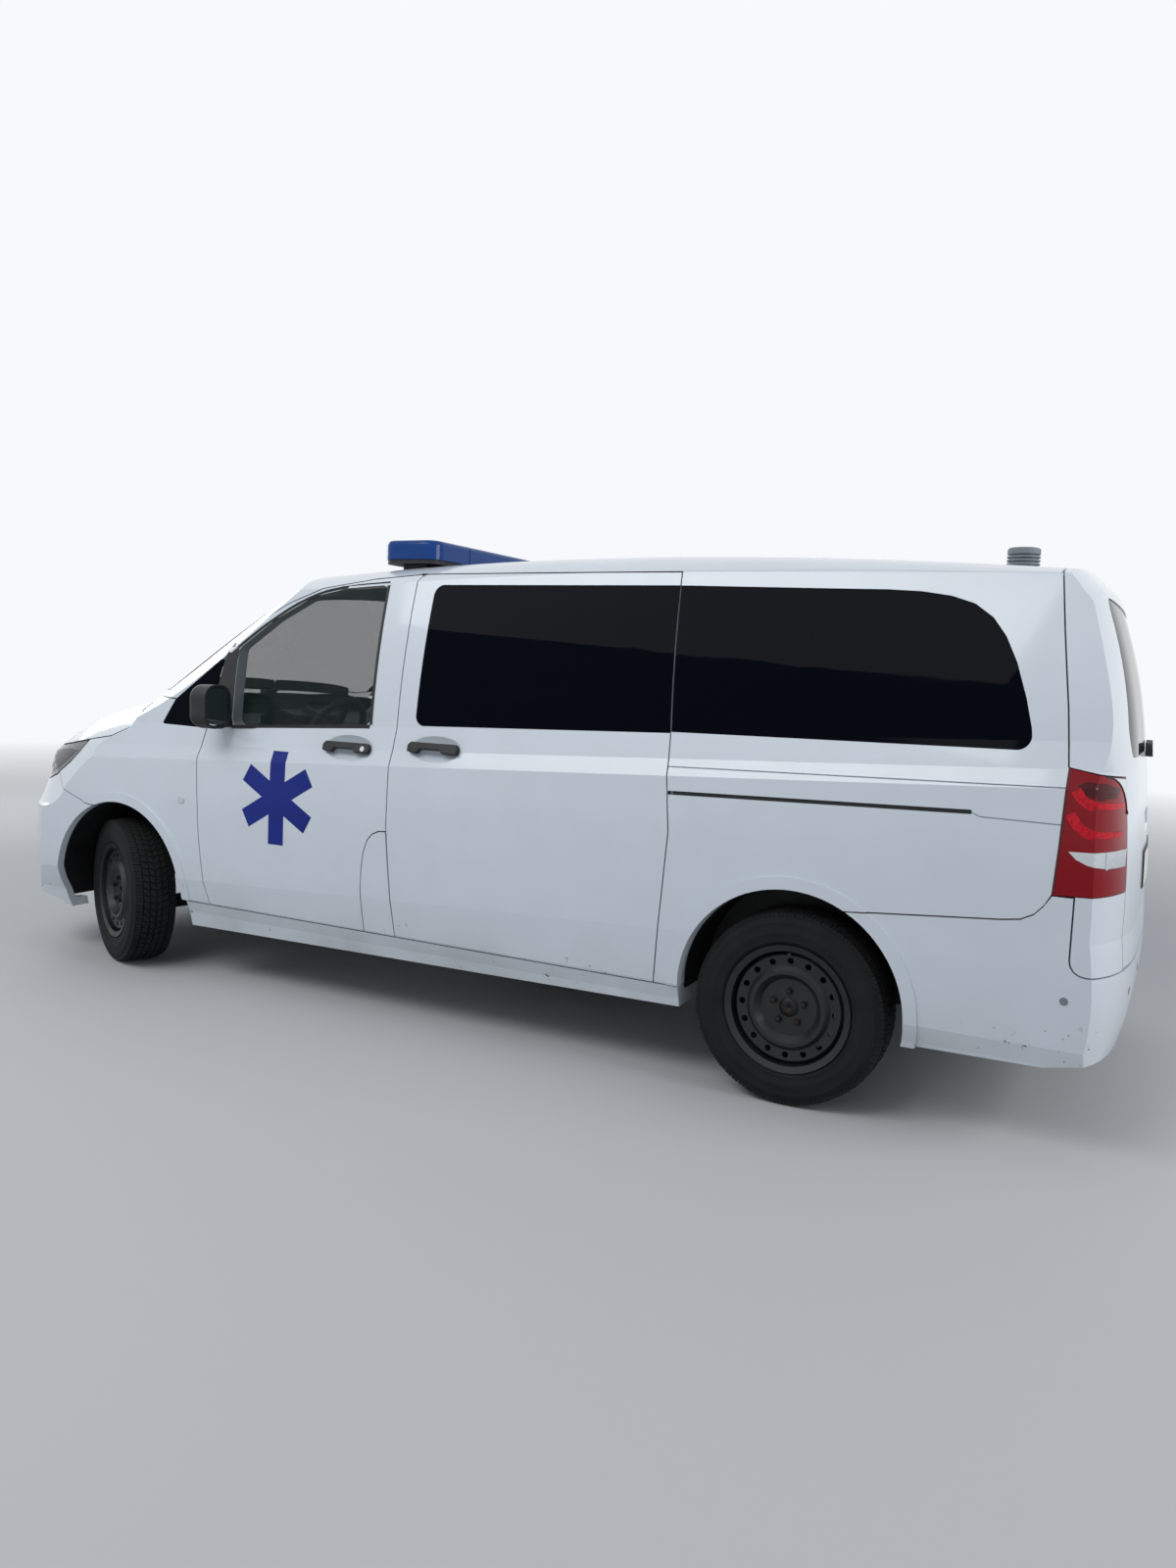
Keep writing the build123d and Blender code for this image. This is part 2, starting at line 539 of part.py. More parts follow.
def sill():
    area = side_prism([(-1128, 180), (1256, 180), (1256, SILL_Z - HALF), (-1128, SILL_Z - HALF)], 780)
    return solids((WALL & area) - REAR_ARCH)


def body_frame():
    """Inner pillars, roof rails, sill rails and the portal round the tailgate, with a post behind each lamp."""
    posts = [(1140, 1238, SILL_Z - HALF + FIT, 1120), (74, 162, SILL_Z, 1850), (-1112, -1008, SILL_Z, 1850)]
    area = Part() + [block(a, b, 640, 1000, c, d) for a, b, c, d in posts]
    area += block(-2240, 640, 640, 1000, 1775, 1850)
    area += block(-1112, 1238, FLOOR_HALF + FIT, 1000, SILL_Z - HALF + FIT, 428)
    area += block(-2600, -2240, LAMP_Y + 6, 1000, FLOOR_Z + FIT, LAMP_TOP_Z - 4)
    area -= block(-2600, 1300, 0, FLOOR_HALF + FIT, 300, FLOOR_Z + FIT)
    arch = cross_tube(REAR_AXLE_X, ARCH_Z, REAR_ARCH_R + LINER_WALL + 2, 600, 1000)
    portal = block(-2262, -2198, -1000, 1000, FLOOR_Z + FIT, 1900) + block(-2330, -2198, -560, 560, 1740, 1900)
    load_bay_end = block(-2330, -2190, -622, 622, FLOOR_Z + 20, 1702)
    return solids((FRAME & (portal + (area - arch) + mirrored(area - arch))) - load_bay_end)


def floor_pan():
    floor = block(-2440, 1240, -FLOOR_HALF, FLOOR_HALF, FLOOR_Z - FLOOR_WALL, FLOOR_Z)
    floor += both(block(-1110, 1240, FLOOR_HALF - 30, FLOOR_HALF, SILL_Z - HALF + FIT, FLOOR_Z - 10))
    floor += both(block(-2440, 1180, 330, 400, 348, FLOOR_Z - 10))
    floor += BEHIND_SKIN & block(-2600, -2400, -620, 620, 430, 540)
    floor += block(-2440, -2380, -620, 620, FLOOR_Z - FLOOR_WALL, 540)
    for x in JACK_PADS_X:
        floor += both(block(x - 40, x + 40, JACK_PAD_Y - 30, JACK_PAD_Y + 30, JACK_PAD_Z, FLOOR_Z - 10))
    house = block(REAR_AXLE_X - REAR_ARCH_R - 8, REAR_AXLE_X + REAR_ARCH_R + 8, REAR_LINER_Y - 2, 1000, 200, 900)
    return solids(floor - house - mirrored(house))


def wheel_liner(axle_x, arch_r, inner_y, low_z, hole_r):
    """Wheelhouse lining: an arched shell with an inner wall that the axle passes through."""
    ring = cross_tube(axle_x, ARCH_Z, arch_r + LINER_WALL, inner_y, 1000)
    ring -= cross_tube(axle_x, ARCH_Z, arch_r, inner_y + LINER_WALL, 1010)
    ring -= cross_tube(axle_x, ARCH_Z - 24, hole_r, inner_y - 10, inner_y + LINER_WALL + 10)
    ring = ring & block(axle_x - 600, axle_x + 600, inner_y, 1000, low_z, 900)
    return ring


def wheel_liners():
    front = wheel_liner(FRONT_AXLE_X, FRONT_ARCH_R, FRONT_LINER_Y, 270, 210) & BEHIND_SKIN
    rear = wheel_liner(REAR_AXLE_X, REAR_ARCH_R, REAR_LINER_Y, 290, 90) & BEHIND_DOORS
    return both(solids(front + rear))


def bulkhead():
    """Footwell and firewall between the cab and the engine."""
    footwell = side_prism([(1240 + FIT, FLOOR_Z - FLOOR_WALL), (1240 + FIT, FLOOR_Z), (1460, 470), (1536, 800),
                           (1536, 1165), (1566, 1165), (1566, 790), (1490, 440), (1300, FLOOR_Z - FLOOR_WALL)],
                          -FRONT_LINER_Y + 4, FRONT_LINER_Y - 4)
    upper = block(1536, 1566, -820, 820, 790, 1165)
    return solids((footwell + upper) & BEHIND_SKIN)


def front_frame():
    """Chassis legs, radiator surround, bumper beam and lamp carriers."""
    under = FLOOR_Z - FLOOR_WALL - FIT
    legs = both(side_prism([(1190, 320), (1190, under), (1300, under), (1490, 440 - FIT), (1510, 520), (2420, 520),
                            (2420, 420), (1540, 420), (1420, 320)], 402, 470))
    ring = block(2370, 2420, -470, 470, 380, 900) - block(2360, 2430, -400, 400, 430, 850)
    latch = (block(2380, 2430, -380, 380, 850, 1010) + both(block(2380, 2560, 280, 320, 905, 945))) & BEHIND_SKIN
    beam = block(2410, 2600, -470, 470, 500, 580) & BEHIND_SKIN
    arms = both(block(2200, 2410, 400, 760, 860, 898)) & BEHIND_DOORS
    return solids(legs + ring + latch + beam + arms)


MEMBER_TOP_Z = 330.0


def engine():
    return fillet(block(1740, 2240, -330, 330, MEMBER_TOP_Z + FIT, 900).edges(), 30)


def radiator():
    return block(2328, 2370 - FIT, -398, 398, 412, 868)


def rear_axle():
    """Twist-beam rear axle: cross tube, trailing arms and stub axles."""
    hub_y = REAR_TRACK / 2 + HUB_FACE_OFFSET - 6.0 - FIT
    beam = cross_tube(REAR_AXLE_X + 210, 300, 42, -600, 600)
    arm = side_prism([(REAR_AXLE_X + 430, 330), (REAR_AXLE_X + 430, 375), (REAR_AXLE_X + 180, 350),
                      (REAR_AXLE_X - 60, 385), (REAR_AXLE_X - 60, 290), (REAR_AXLE_X + 180, 270)], 545, 605)
    stub = cross_tube(REAR_AXLE_X, TYRE_R, 46, 590, hub_y) + cross_tube(REAR_AXLE_X, TYRE_R, 72, hub_y - 14, hub_y)
    disc = cross_tube(REAR_AXLE_X, TYRE_R, 145, hub_y - 42, hub_y - 22)
    mount = block(REAR_AXLE_X + 380, REAR_AXLE_X + 440, 545, 605, 370, FLOOR_Z - FLOOR_WALL - FIT)
    return solids(beam + both(arm + stub + disc + mount))


def fuel_tank():
    return block(-700, 0, -310, 310, 215, FLOOR_Z - FLOOR_WALL - FIT, 60)


def exhaust():
    pipe = Pos(-100, -480, 300) * Rot(0, 90, 0) * Cylinder(28, 2300)
    silencer = Pos(-755, -500, 292) * Rot(0, 90, 0) * Cylinder(82, 620)
    hanger = block(-900, -800, -520, -460, 360, FLOOR_Z - FLOOR_WALL - FIT)
    front_hanger = block(600, 640, -500, -460, 300, FLOOR_Z - FLOOR_WALL - FIT)
    return solids(pipe + silencer + hanger + front_hanger)


def front_suspension():
    """Cross member with a lower arm to the foot of each steering knuckle."""
    member = block(1560, 1790, -380, 380, 250, MEMBER_TOP_Z)
    arm = plan_prism([(1580, 370), (1780, 370), (1700, 735), (1650, 735)], 225, 262, 8)
    ball = Pos(FRONT_AXLE_X, KINGPIN_Y, 243) * Cylinder(26, 40)
    feet = both(block(1600, 1680, 380, 420, 250, 420 - FIT)) + both(block(1580, 1700, 350, 392, 240, 300))
    return solids(member + both(arm + ball) + feet)


def steered(shape, side):
    """Turns a left or right front-corner piece about its kingpin to the parked steering angle."""
    pivot = Pos(FRONT_AXLE_X, side * KINGPIN_Y, 0)
    return pivot * Rot(0, 0, -STEER_AT_REST) * Pos(-FRONT_AXLE_X, -side * KINGPIN_Y, 0) * shape


def knuckle():
    """Steering knuckle: upright, strut, brake disc and hub."""
    hub_y = FRONT_TRACK / 2 + HUB_FACE_OFFSET - 6.0 - FIT
    foot = block(FRONT_AXLE_X - 26, FRONT_AXLE_X + 26, STRUT_Y - 11, KINGPIN_Y + 24, 263 + FIT, 470)
    strut = Pos(FRONT_AXLE_X, STRUT_Y, 535) * Cylinder(24, 330)
    seat_plate = block(FRONT_AXLE_X - 33, FRONT_AXLE_X + 33, STRUT_Y - 31, KINGPIN_Y + 37, 686, 704)
    spring = Pos(FRONT_AXLE_X, KINGPIN_Y, 727) * Cylinder(56, 54)
    stub = cross_tube(FRONT_AXLE_X, TYRE_R, 46, KINGPIN_Y, hub_y) + cross_tube(FRONT_AXLE_X, TYRE_R, 72, hub_y - 14, hub_y)
    disc = cross_tube(FRONT_AXLE_X, TYRE_R, 150, hub_y - 50, hub_y - 24)
    track_arm = block(FRONT_AXLE_X - 140, FRONT_AXLE_X, KINGPIN_Y - 46, KINGPIN_Y - 18, 300, 330)
    return solids(foot + strut + seat_plate + spring + stub + disc + track_arm)


def rim(x, y, outboard):
    """Pressed steel wheel: stepped barrel, dished disc with a ring of round holes, centre bore."""
    edge = RIM_W / 2
    barrel = [(RIM_R, edge), (RIM_R, edge - 7), (SEAT_R, edge - 11), (SEAT_R - 3, 42), (172, 20), (172, -24),
              (SEAT_R - 3, -50), (SEAT_R, 11 - edge), (RIM_R, 7 - edge), (RIM_R, -edge), (SEAT_R - 6, 6 - edge),
              (SEAT_R - 8, -54), (167, -28), (167, 24), (SEAT_R - 9, 47), (SEAT_R - 6, edge - 7)]
    face = HUB_FACE_OFFSET
    disc = [(SEAT_R - 6, 56), (182, 74), (146, 71), (132, face + 26), (118, face + 26), (98, face + 2),
            (HUB_BORE_R, face + 2), (HUB_BORE_R, face - 6), (100, face - 6), (120, face + 18), (130, face + 18),
            (142, 64), (180, 67), (SEAT_R - 6, 49)]
    wheel = turned(barrel, 0, 0, 0) + turned(disc, 0, 0, 0)
    for i in range(DISC_HOLES):
        a = radians(360 / DISC_HOLES * i)
        wheel -= cross_tube(DISC_HOLE_CIRCLE_R * cos(a), DISC_HOLE_CIRCLE_R * sin(a), DISC_HOLE_R, 50, 100)
    if outboard < 0:
        wheel = mirrored(wheel)
    return solids(Pos(x, y, TYRE_R) * wheel)


def tyre(x, y):
    """Tyre as a closed ring: tread band, shoulders, bulged sidewalls and beads."""
    seat = SEAT_R + FIT
    side = TYRE_W / 2
    tread = TREAD_W / 2
    bead = RIM_W / 2 - 8
    profile = [(TYRE_R, tread - 12), (TYRE_R - 14, tread + 6), (TYRE_R - 58, side), (seat + 17, bead), (seat, bead - 12)]
    outline = profile + [(r, -s) for r, s in reversed(profile)]
    return solids(turned(outline, x, y, TYRE_R))


# Roof equipment
BAR_X = 367.0
BAR_DEPTH = 285.0
BAR_WIDTH = 1120.0
BAR_BASE_Z = 1878.0
BAR_TOP_Z = 1978.0


def bar_outline(shrink=0.0):
    """Plan of the light bar: a straight bar across the roof."""
    half_w, half_d = BAR_WIDTH / 2 - shrink, BAR_DEPTH / 2 - shrink
    return [(BAR_X + half_d, -half_w), (BAR_X + half_d, half_w), (BAR_X - half_d, half_w), (BAR_X - half_d, -half_w)]


def light_bar_base():
    base = plan_prism(bar_outline(6), BAR_BASE_Z, BAR_BASE_Z + 18, 64)
    feet = both(block(BAR_X - 60, BAR_X + 60, 440, 500, 1700, BAR_BASE_Z + 4))
    return solids((base + feet) - OUTSIDE)


def light_bar_lens():
    low = BAR_BASE_Z + 18 + FIT
    lens = plan_prism(bar_outline(), low, BAR_TOP_Z, 70)
    top = lens.faces().sort_by(Axis.Z)[-1]
    lens = fillet(top.edges(), 22)
    for y in (-BAR_WIDTH / 4 - 10, BAR_WIDTH / 4 + 10):
        groove = block(BAR_X - 200, BAR_X + 200, y - 3, y + 3, low - 10, BAR_TOP_Z + 10)
        lens -= groove - block(BAR_X - BAR_DEPTH / 2 + 3, BAR_X + BAR_DEPTH / 2 - 3, y - 4, y + 4, low - 20, BAR_TOP_Z - 3)
    return solids(lens)


VENT_X = -2060.0
VENT_R = 59.0


def roof_vent():
    """Ribbed round roof vent with a flat cap."""
    stem = Pos(VENT_X, 0, 1900) * Cylinder(VENT_R - 8, 110)
    ribs = Part() + [Pos(VENT_X, 0, z) * Cylinder(VENT_R, 6) for z in (1916, 1929, 1942)]
    cap = Pos(VENT_X, 0, 1964) * Cylinder(VENT_R, 24)
    cap = fillet(cap.edges().sort_by(Axis.Z)[-1], 9)
    return solids((stem + ribs + cap) - OUTSIDE)


MIRROR_X = 1050.0
MIRROR_Y = 1012.0
MIRROR_Z = 1232.0


def mirror_arm():
    """Door mirror: a rounded housing on a short foot at the front corner of the door window."""
    housing = Pos(MIRROR_X, MIRROR_Y, MIRROR_Z) * Box(112, 150, 186)
    housing = fillet(housing.edges().filter_by(Axis.X), 58)
    housing = fillet(housing.faces().sort_by(Axis.X)[-1].edges(), 44)
    recess = Pos(MIRROR_X - 56, MIRROR_Y, MIRROR_Z) * Box(24, 130, 166)
    recess = fillet(recess.edges().filter_by(Axis.X), 48)
    foot = block(MIRROR_X - 20, MIRROR_X + 40, 860, 960, 1158, 1190)
    return solids(housing - recess + (foot - OUTSIDE))


def door_handle(at):
    """Pull handle: a grip bridging its cup, thick at both ends and arched underneath."""
    outline = [(-112, -20), (-118, 0), (-108, 20), (104, 20), (118, 6), (116, -20), (72, -24), (58, -7), (-34, -7),
               (-48, -20)]
    front = make_face(FilletPolyline(*outline, radius=5, close=True))
    plane = Plane(origin=(0, GRIP_PROUD, 0), x_dir=(1, 0, 0), z_dir=(0, -1, 0))
    grip = extrude(plane * front, GRIP_PROUD - 3)
    grip = fillet(grip.faces().sort_by(Axis.Y)[-1].edges(), 4)
    ends = block(-108, -56, -30, 6, -14, 14) + block(80, 106, -30, 6, -14, 14)
    return solids(on_shoulder(at, grip + ends) - (OUTSIDE - handle_cup(at, FIT)))


def rear_wiper():
    """Rear wiper parked along the lower edge of the tailgate glass, with its motor cap."""
    arm = end_prism([(10, 1242), (10, 1262), (-330, 1277), (-330, 1264)], -2600, -2300)
    cap = Pos(-2450, 0, 1252) * Rot(0, 90, 0) * Cylinder(25, 300)
    return solids(WIPER_BAND & (arm + cap))


def front_wipers():
    """Two wipers parked along the foot of the windscreen, each from a pivot on the cowl."""
    blade = [(1672, -20), (1628, 640), (1616, 640), (1656, -20)]
    long_wiper = plan_prism(blade, 1100, 1500) + block(1658, 1722, -40, -8, 1100, 1500)
    short_wiper = plan_prism([(1646, -640), (1660, -640), (1674, -72), (1658, -72)], 1100, 1500)
    short_wiper += block(1658, 1722, -92, -60, 1100, 1500)
    return solids(WIPER_BAND & (long_wiper + short_wiper))


DASH_TOP_Z = 1165.0


def dash_forms(grow=0.0):
    """Dash moulding across the cab and the instrument hood on the driver's side."""
    outline = [(1500, 760), (1530, 1130), (1500, DASH_TOP_Z), (1180, DASH_TOP_Z - 20), (1020, 1085), (1000, 1010),
               (1060, 900), (1090, 760)]
    dash = side_prism(outline, -780, 780, 20, grow)
    hood = side_prism([(1200, 1130), (1000, 1120), (985, 1190), (1080, 1215), (1200, 1180)], 250, 540, 12, grow)
    return dash + hood


def dashboard():
    console = block(1040, 1235, -150, 120, FLOOR_Z + FIT, 800)
    return solids(dash_forms() + console)


WHEEL_CENTRE = (880.0, 395.0, 1110.0)
WHEEL_TILT = 28.0


def steering_wheel():
    """Rim, hub and three spokes on a raked column."""
    rim_ring = Torus(180, 16)
    hub = Cylinder(62, 44)
    spokes = Part() + [Rot(0, 0, a) * Pos(105, 0, 0) * Box(150, 34, 16) for a in (0, 180, 270)]
    column = Pos(0, 0, 110) * Cylinder(34, 180)
    wheel = rim_ring + hub + spokes
    place = Pos(*WHEEL_CENTRE) * Rot(0, 90 - WHEEL_TILT, 0)
    raised = place * (wheel + column) - dash_forms(FIT)
    return Compound([max(raised.solids(), key=lambda s: s.volume)])


def seat(x, y, width, mount_z=FLOOR_Z + FIT):
    """Cab seat: pedestal, cushion, raked backrest and head restraint."""
    pedestal = block(x - 180, x + 160, y - width / 2 + 40, y + width / 2 - 40, mount_z, mount_z + 260)
    cushion = fillet(block(x - 250, x + 260, y - width / 2, y + width / 2, mount_z + 260, mount_z + 390).edges(), 35)
    back = Pos(x - 290, y, mount_z + 620) * Rot(0, -14, 0) * Box(120, width, 620)
    back = fillet(back.edges(), 45)
    head = Pos(x - 385, y, mount_z + 1010) * Rot(0, -8, 0) * Box(95, 260, 190)
    head = fillet(head.edges(), 38)
    stem = Pos(x - 368, y, mount_z + 920) * Rot(0, -10, 0) * Box(24, 120, 120)
    return pedestal + cushion + back + head + stem


SEAT_X = 560.0
PARTITION_X = 30.0


def cab_seats():
    return solids(seat(SEAT_X, 400, 480) + seat(SEAT_X, -340, 480))


def partition():
    """Wall behind the cab with a sliding-window opening."""
    wall_area = block(PARTITION_X, PARTITION_X + 30, -1000, 1000, FLOOR_Z + FIT, 1850)
    inside = envelope(DOOR_WALL + 58.0, ROOF_WALL + 46.0)
    opening = end_prism([(-330, 1180), (330, 1180), (330, 1600), (-330, 1600)], 0, 100, 40)
    return solids((wall_area & inside) - opening)


def stretcher_deck():
    """Fixed platform with rails for the stretcher, on the load-bay floor."""
    deck = block(-2150, -250, -40, 520, FLOOR_Z + FIT, FLOOR_Z + 90)
    rails = Part() + [block(-2150, -250, y, y + 30, FLOOR_Z + 80, FLOOR_Z + 130) for y in (0, 450)]
    return solids(deck + rails)


PIECES = {
    "roof_and_pillars": roof_with_pillars,
    "windscreen": windscreen,
    "cowl": cowl,
    "bonnet": bonnet,
    "grilles": lambda: Compound(grille().solids() + lower_grille().solids()),
    "front_bumper": front_bumper,
    "headlamps": lambda: both(headlamp()),
    "rear_bumper": rear_bumper,
    "tail_lamps": lambda: both(tail_lamp()),
    "tailgate": tailgate,
    "tailgate_glass": lambda: solids(GLASS & end_prism(TAILGATE_WINDOW, -2700, -2300, 60)),
    "rear_wiper": rear_wiper,
    "front_wipers": front_wipers,
    "tinted_side_glass": tinted_side_glass,
    "sills": lambda: both(sill()),
    "fuel_flap": fuel_flap,
    "sliding_doors": lambda: both(sliding_door()),
    "sliding_door_handles": lambda: both(door_handle(SLIDE_HANDLE)),
    "rear_sides": lambda: both(Compound(rear_side().solids() + rear_corner().solids())),
    "front_fenders": lambda: both(fender()),
    "body_frame": body_frame,
    "floor_pan": floor_pan,
    "wheel_liners": wheel_liners,
    "bulkhead": bulkhead,
    "front_frame": front_frame,
    "engine": engine,
    "radiator": radiator,
    "front_suspension": front_suspension,
    "rear_axle": rear_axle,
    "fuel_tank": fuel_tank,
    "exhaust": exhaust,
    "light_bar_base": light_bar_base,
    "light_bar_lens": light_bar_lens,
    "roof_vent": roof_vent,
    "dashboard": dashboard,
    "steering_wheel": steering_wheel,
    "cab_seats": cab_seats,
    "partition": partition,
    "stretcher_deck": stretcher_deck,
}

SIDED = {
    "front_door": front_door,
    "front_door_glass": lambda: side_glass(DOOR_WINDOW, 34),
    "front_door_handle": lambda: door_handle(FRONT_HANDLE),
    "door_mirror": mirror_arm,
}


def build_all():
    shapes = {name: make() for name, make in PIECES.items()}
    for name, make in SIDED.items():
        left = make()
        shapes[name + "_left"] = left
        shapes[name + "_right"] = mirrored(left)
    shapes["front_door_left"] = solids(shapes["front_door_left"] - side_prism(FUEL_FLAP, PANEL_Y, grow=SEAM))
    for side, word in ((1, "left"), (-1, "right")):
        front_y, rear_y = side * FRONT_TRACK / 2, side * REAR_TRACK / 2
        upright = knuckle() if side > 0 else mirrored(knuckle())
        shapes[f"knuckle_{word}"] = steered(upright, side)
        shapes[f"front_rim_{word}"] = steered(rim(FRONT_AXLE_X, front_y, side), side)
        shapes[f"front_tyre_{word}"] = steered(tyre(FRONT_AXLE_X, front_y), side)
        shapes[f"rear_rim_{word}"] = rim(REAR_AXLE_X, rear_y, side)
        shapes[f"rear_tyre_{word}"] = tyre(REAR_AXLE_X, rear_y)
    return shapes


os.makedirs("parts", exist_ok=True)
for name, shape in build_all().items():
    export_step(shape, f"parts/{name}.step")
    box = shape.bounding_box()
    print(f"{name}: {len(shape.solids())} solids, {shape.volume / 1e6:.1f} litres, x {box.min.X:.0f}..{box.max.X:.0f}, "
          f"y {box.min.Y:.0f}..{box.max.Y:.0f}, z {box.min.Z:.0f}..{box.max.Z:.0f}")
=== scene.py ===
# %% [markdown]
# A white ambulance on a long panel van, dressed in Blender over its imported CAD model.
# The CAD nodes keep their places and sizes. This file gives them finishes, adds what the CAD
# leaves out, such as tread, seals, lamp insides, seats and decals, and sets up a plain studio.

# %% Load the frame
import json
import math

import bmesh
import bpy
from mathutils import Matrix, Vector
from mathutils.bvhtree import BVHTree


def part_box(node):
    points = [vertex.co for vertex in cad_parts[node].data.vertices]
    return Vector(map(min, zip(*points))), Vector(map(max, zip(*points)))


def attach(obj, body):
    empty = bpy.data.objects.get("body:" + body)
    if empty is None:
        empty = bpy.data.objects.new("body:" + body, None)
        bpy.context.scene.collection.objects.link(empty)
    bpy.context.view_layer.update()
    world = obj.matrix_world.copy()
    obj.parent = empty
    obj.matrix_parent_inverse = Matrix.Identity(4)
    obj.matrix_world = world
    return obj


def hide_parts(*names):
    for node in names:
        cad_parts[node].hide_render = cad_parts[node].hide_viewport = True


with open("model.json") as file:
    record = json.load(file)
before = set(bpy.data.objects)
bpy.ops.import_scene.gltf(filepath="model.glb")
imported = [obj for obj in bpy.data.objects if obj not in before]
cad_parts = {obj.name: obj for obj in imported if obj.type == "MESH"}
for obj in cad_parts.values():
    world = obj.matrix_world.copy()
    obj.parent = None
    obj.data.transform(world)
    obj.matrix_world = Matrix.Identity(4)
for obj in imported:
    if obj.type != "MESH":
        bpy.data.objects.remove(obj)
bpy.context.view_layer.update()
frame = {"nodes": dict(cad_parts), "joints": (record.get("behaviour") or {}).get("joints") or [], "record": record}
nodes = frame["nodes"]
print("CAD nodes:", len(nodes))

# %% [markdown]
# Real sizes, in metres. Whatever a piece shares with the CAD model is read from the frame's own
# boxes and joints, so that a changed van would carry its trim along.

# %% Sizes read from the frame
joints = {j["name"]: j for j in frame["joints"]}
SIDES = ("left", "right")
tyre_low, tyre_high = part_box("rear_tyre_left")
TYRE_R = tyre_high.z / 2
TYRE_W = tyre_high.y - tyre_low.y
steer_axis = Vector(joints["front_wheel_left_spin"]["axis"])
STEER = -math.atan2(steer_axis.x, steer_axis.y)
print("tyre radius", round(TYRE_R, 3), "width", round(TYRE_W, 3), "steer", round(math.degrees(STEER), 1))

# %% [markdown]
# The camera stands where the photograph was taken: behind and to the left of the van, at eye
# height, looking forward along its side with a wide lens. A camera's own axes are right, up and
# backwards, so its matrix is built from the heading, pitch and roll.

# %% Camera
CAMERA_AT = Vector((-2.619, 4.584, 1.426))
HEADING = math.radians(-62.82)
PITCH = math.radians(-5.37)
ROLL = math.radians(2.48)
FOCAL_PIXELS = 1160.4
PHOTO_HEIGHT = 1600
SENSOR = 36.0


def make_camera():
    flat = math.cos(PITCH)
    forward = Vector((math.cos(HEADING) * flat, math.sin(HEADING) * flat, math.sin(PITCH)))
    level = Vector((math.sin(HEADING), -math.cos(HEADING), 0.0))
    upright = level.cross(forward)
    right = math.cos(ROLL) * level + math.sin(ROLL) * upright
    up = -math.sin(ROLL) * level + math.cos(ROLL) * upright
    data = bpy.data.cameras.new("camera")
    data.sensor_width = SENSOR
    data.lens = FOCAL_PIXELS / PHOTO_HEIGHT * SENSOR
    camera = bpy.data.objects.new("camera", data)
    bpy.context.scene.collection.objects.link(camera)
    axes = Matrix((right, up, -forward)).transposed().to_4x4()
    camera.matrix_world = Matrix.Translation(CAMERA_AT) @ axes
    bpy.context.scene.camera = camera
    return camera


camera = make_camera()
print("lens", round(camera.data.lens, 2), "mm")

# %% [markdown]
# Materials are node trees. Every one starts from a Principled shader, and small helpers add the
# noise, the bump and the mixing that keep a surface from looking like one flat colour. Patterns
# read Object coordinates, which are the van's own metres because every piece sits at the origin.

# %% Material helpers


def srgb(text):
    """A #rrggbb colour as linear RGBA."""
    parts = [int(text[i:i + 2], 16) / 255 for i in (1, 3, 5)]
    return [*(c / 12.92 if c <= 0.04045 else ((c + 0.055) / 1.055) ** 2.4 for c in parts), 1.0]


class Wiring:
    """Short ways to add nodes to a tree and to fill their inputs."""

    def __init__(self, tree):
        self.tree = tree

    def put(self, socket, value):
        """Links an output, converts the text of a colour, or sets a number."""
        if isinstance(value, bpy.types.NodeSocket):
            self.tree.links.new(value, socket)
        else:
            socket.default_value = srgb(value) if isinstance(value, str) else value

    def node(self, kind, inputs=None, **settings):
        node = self.tree.nodes.new(kind)
        for key, value in settings.items():
            setattr(node, key, value)
        for key, value in (inputs or {}).items():
            self.put(node.inputs[key], value)
        return node

    def math(self, operation, a, b):
        return self.node("ShaderNodeMath", {0: a, 1: b}, operation=operation).outputs["Value"]

    def mixed(self, factor, first, second):
        return self.node("ShaderNodeMixShader", {"Fac": factor, 1: first, 2: second}).outputs["Shader"]


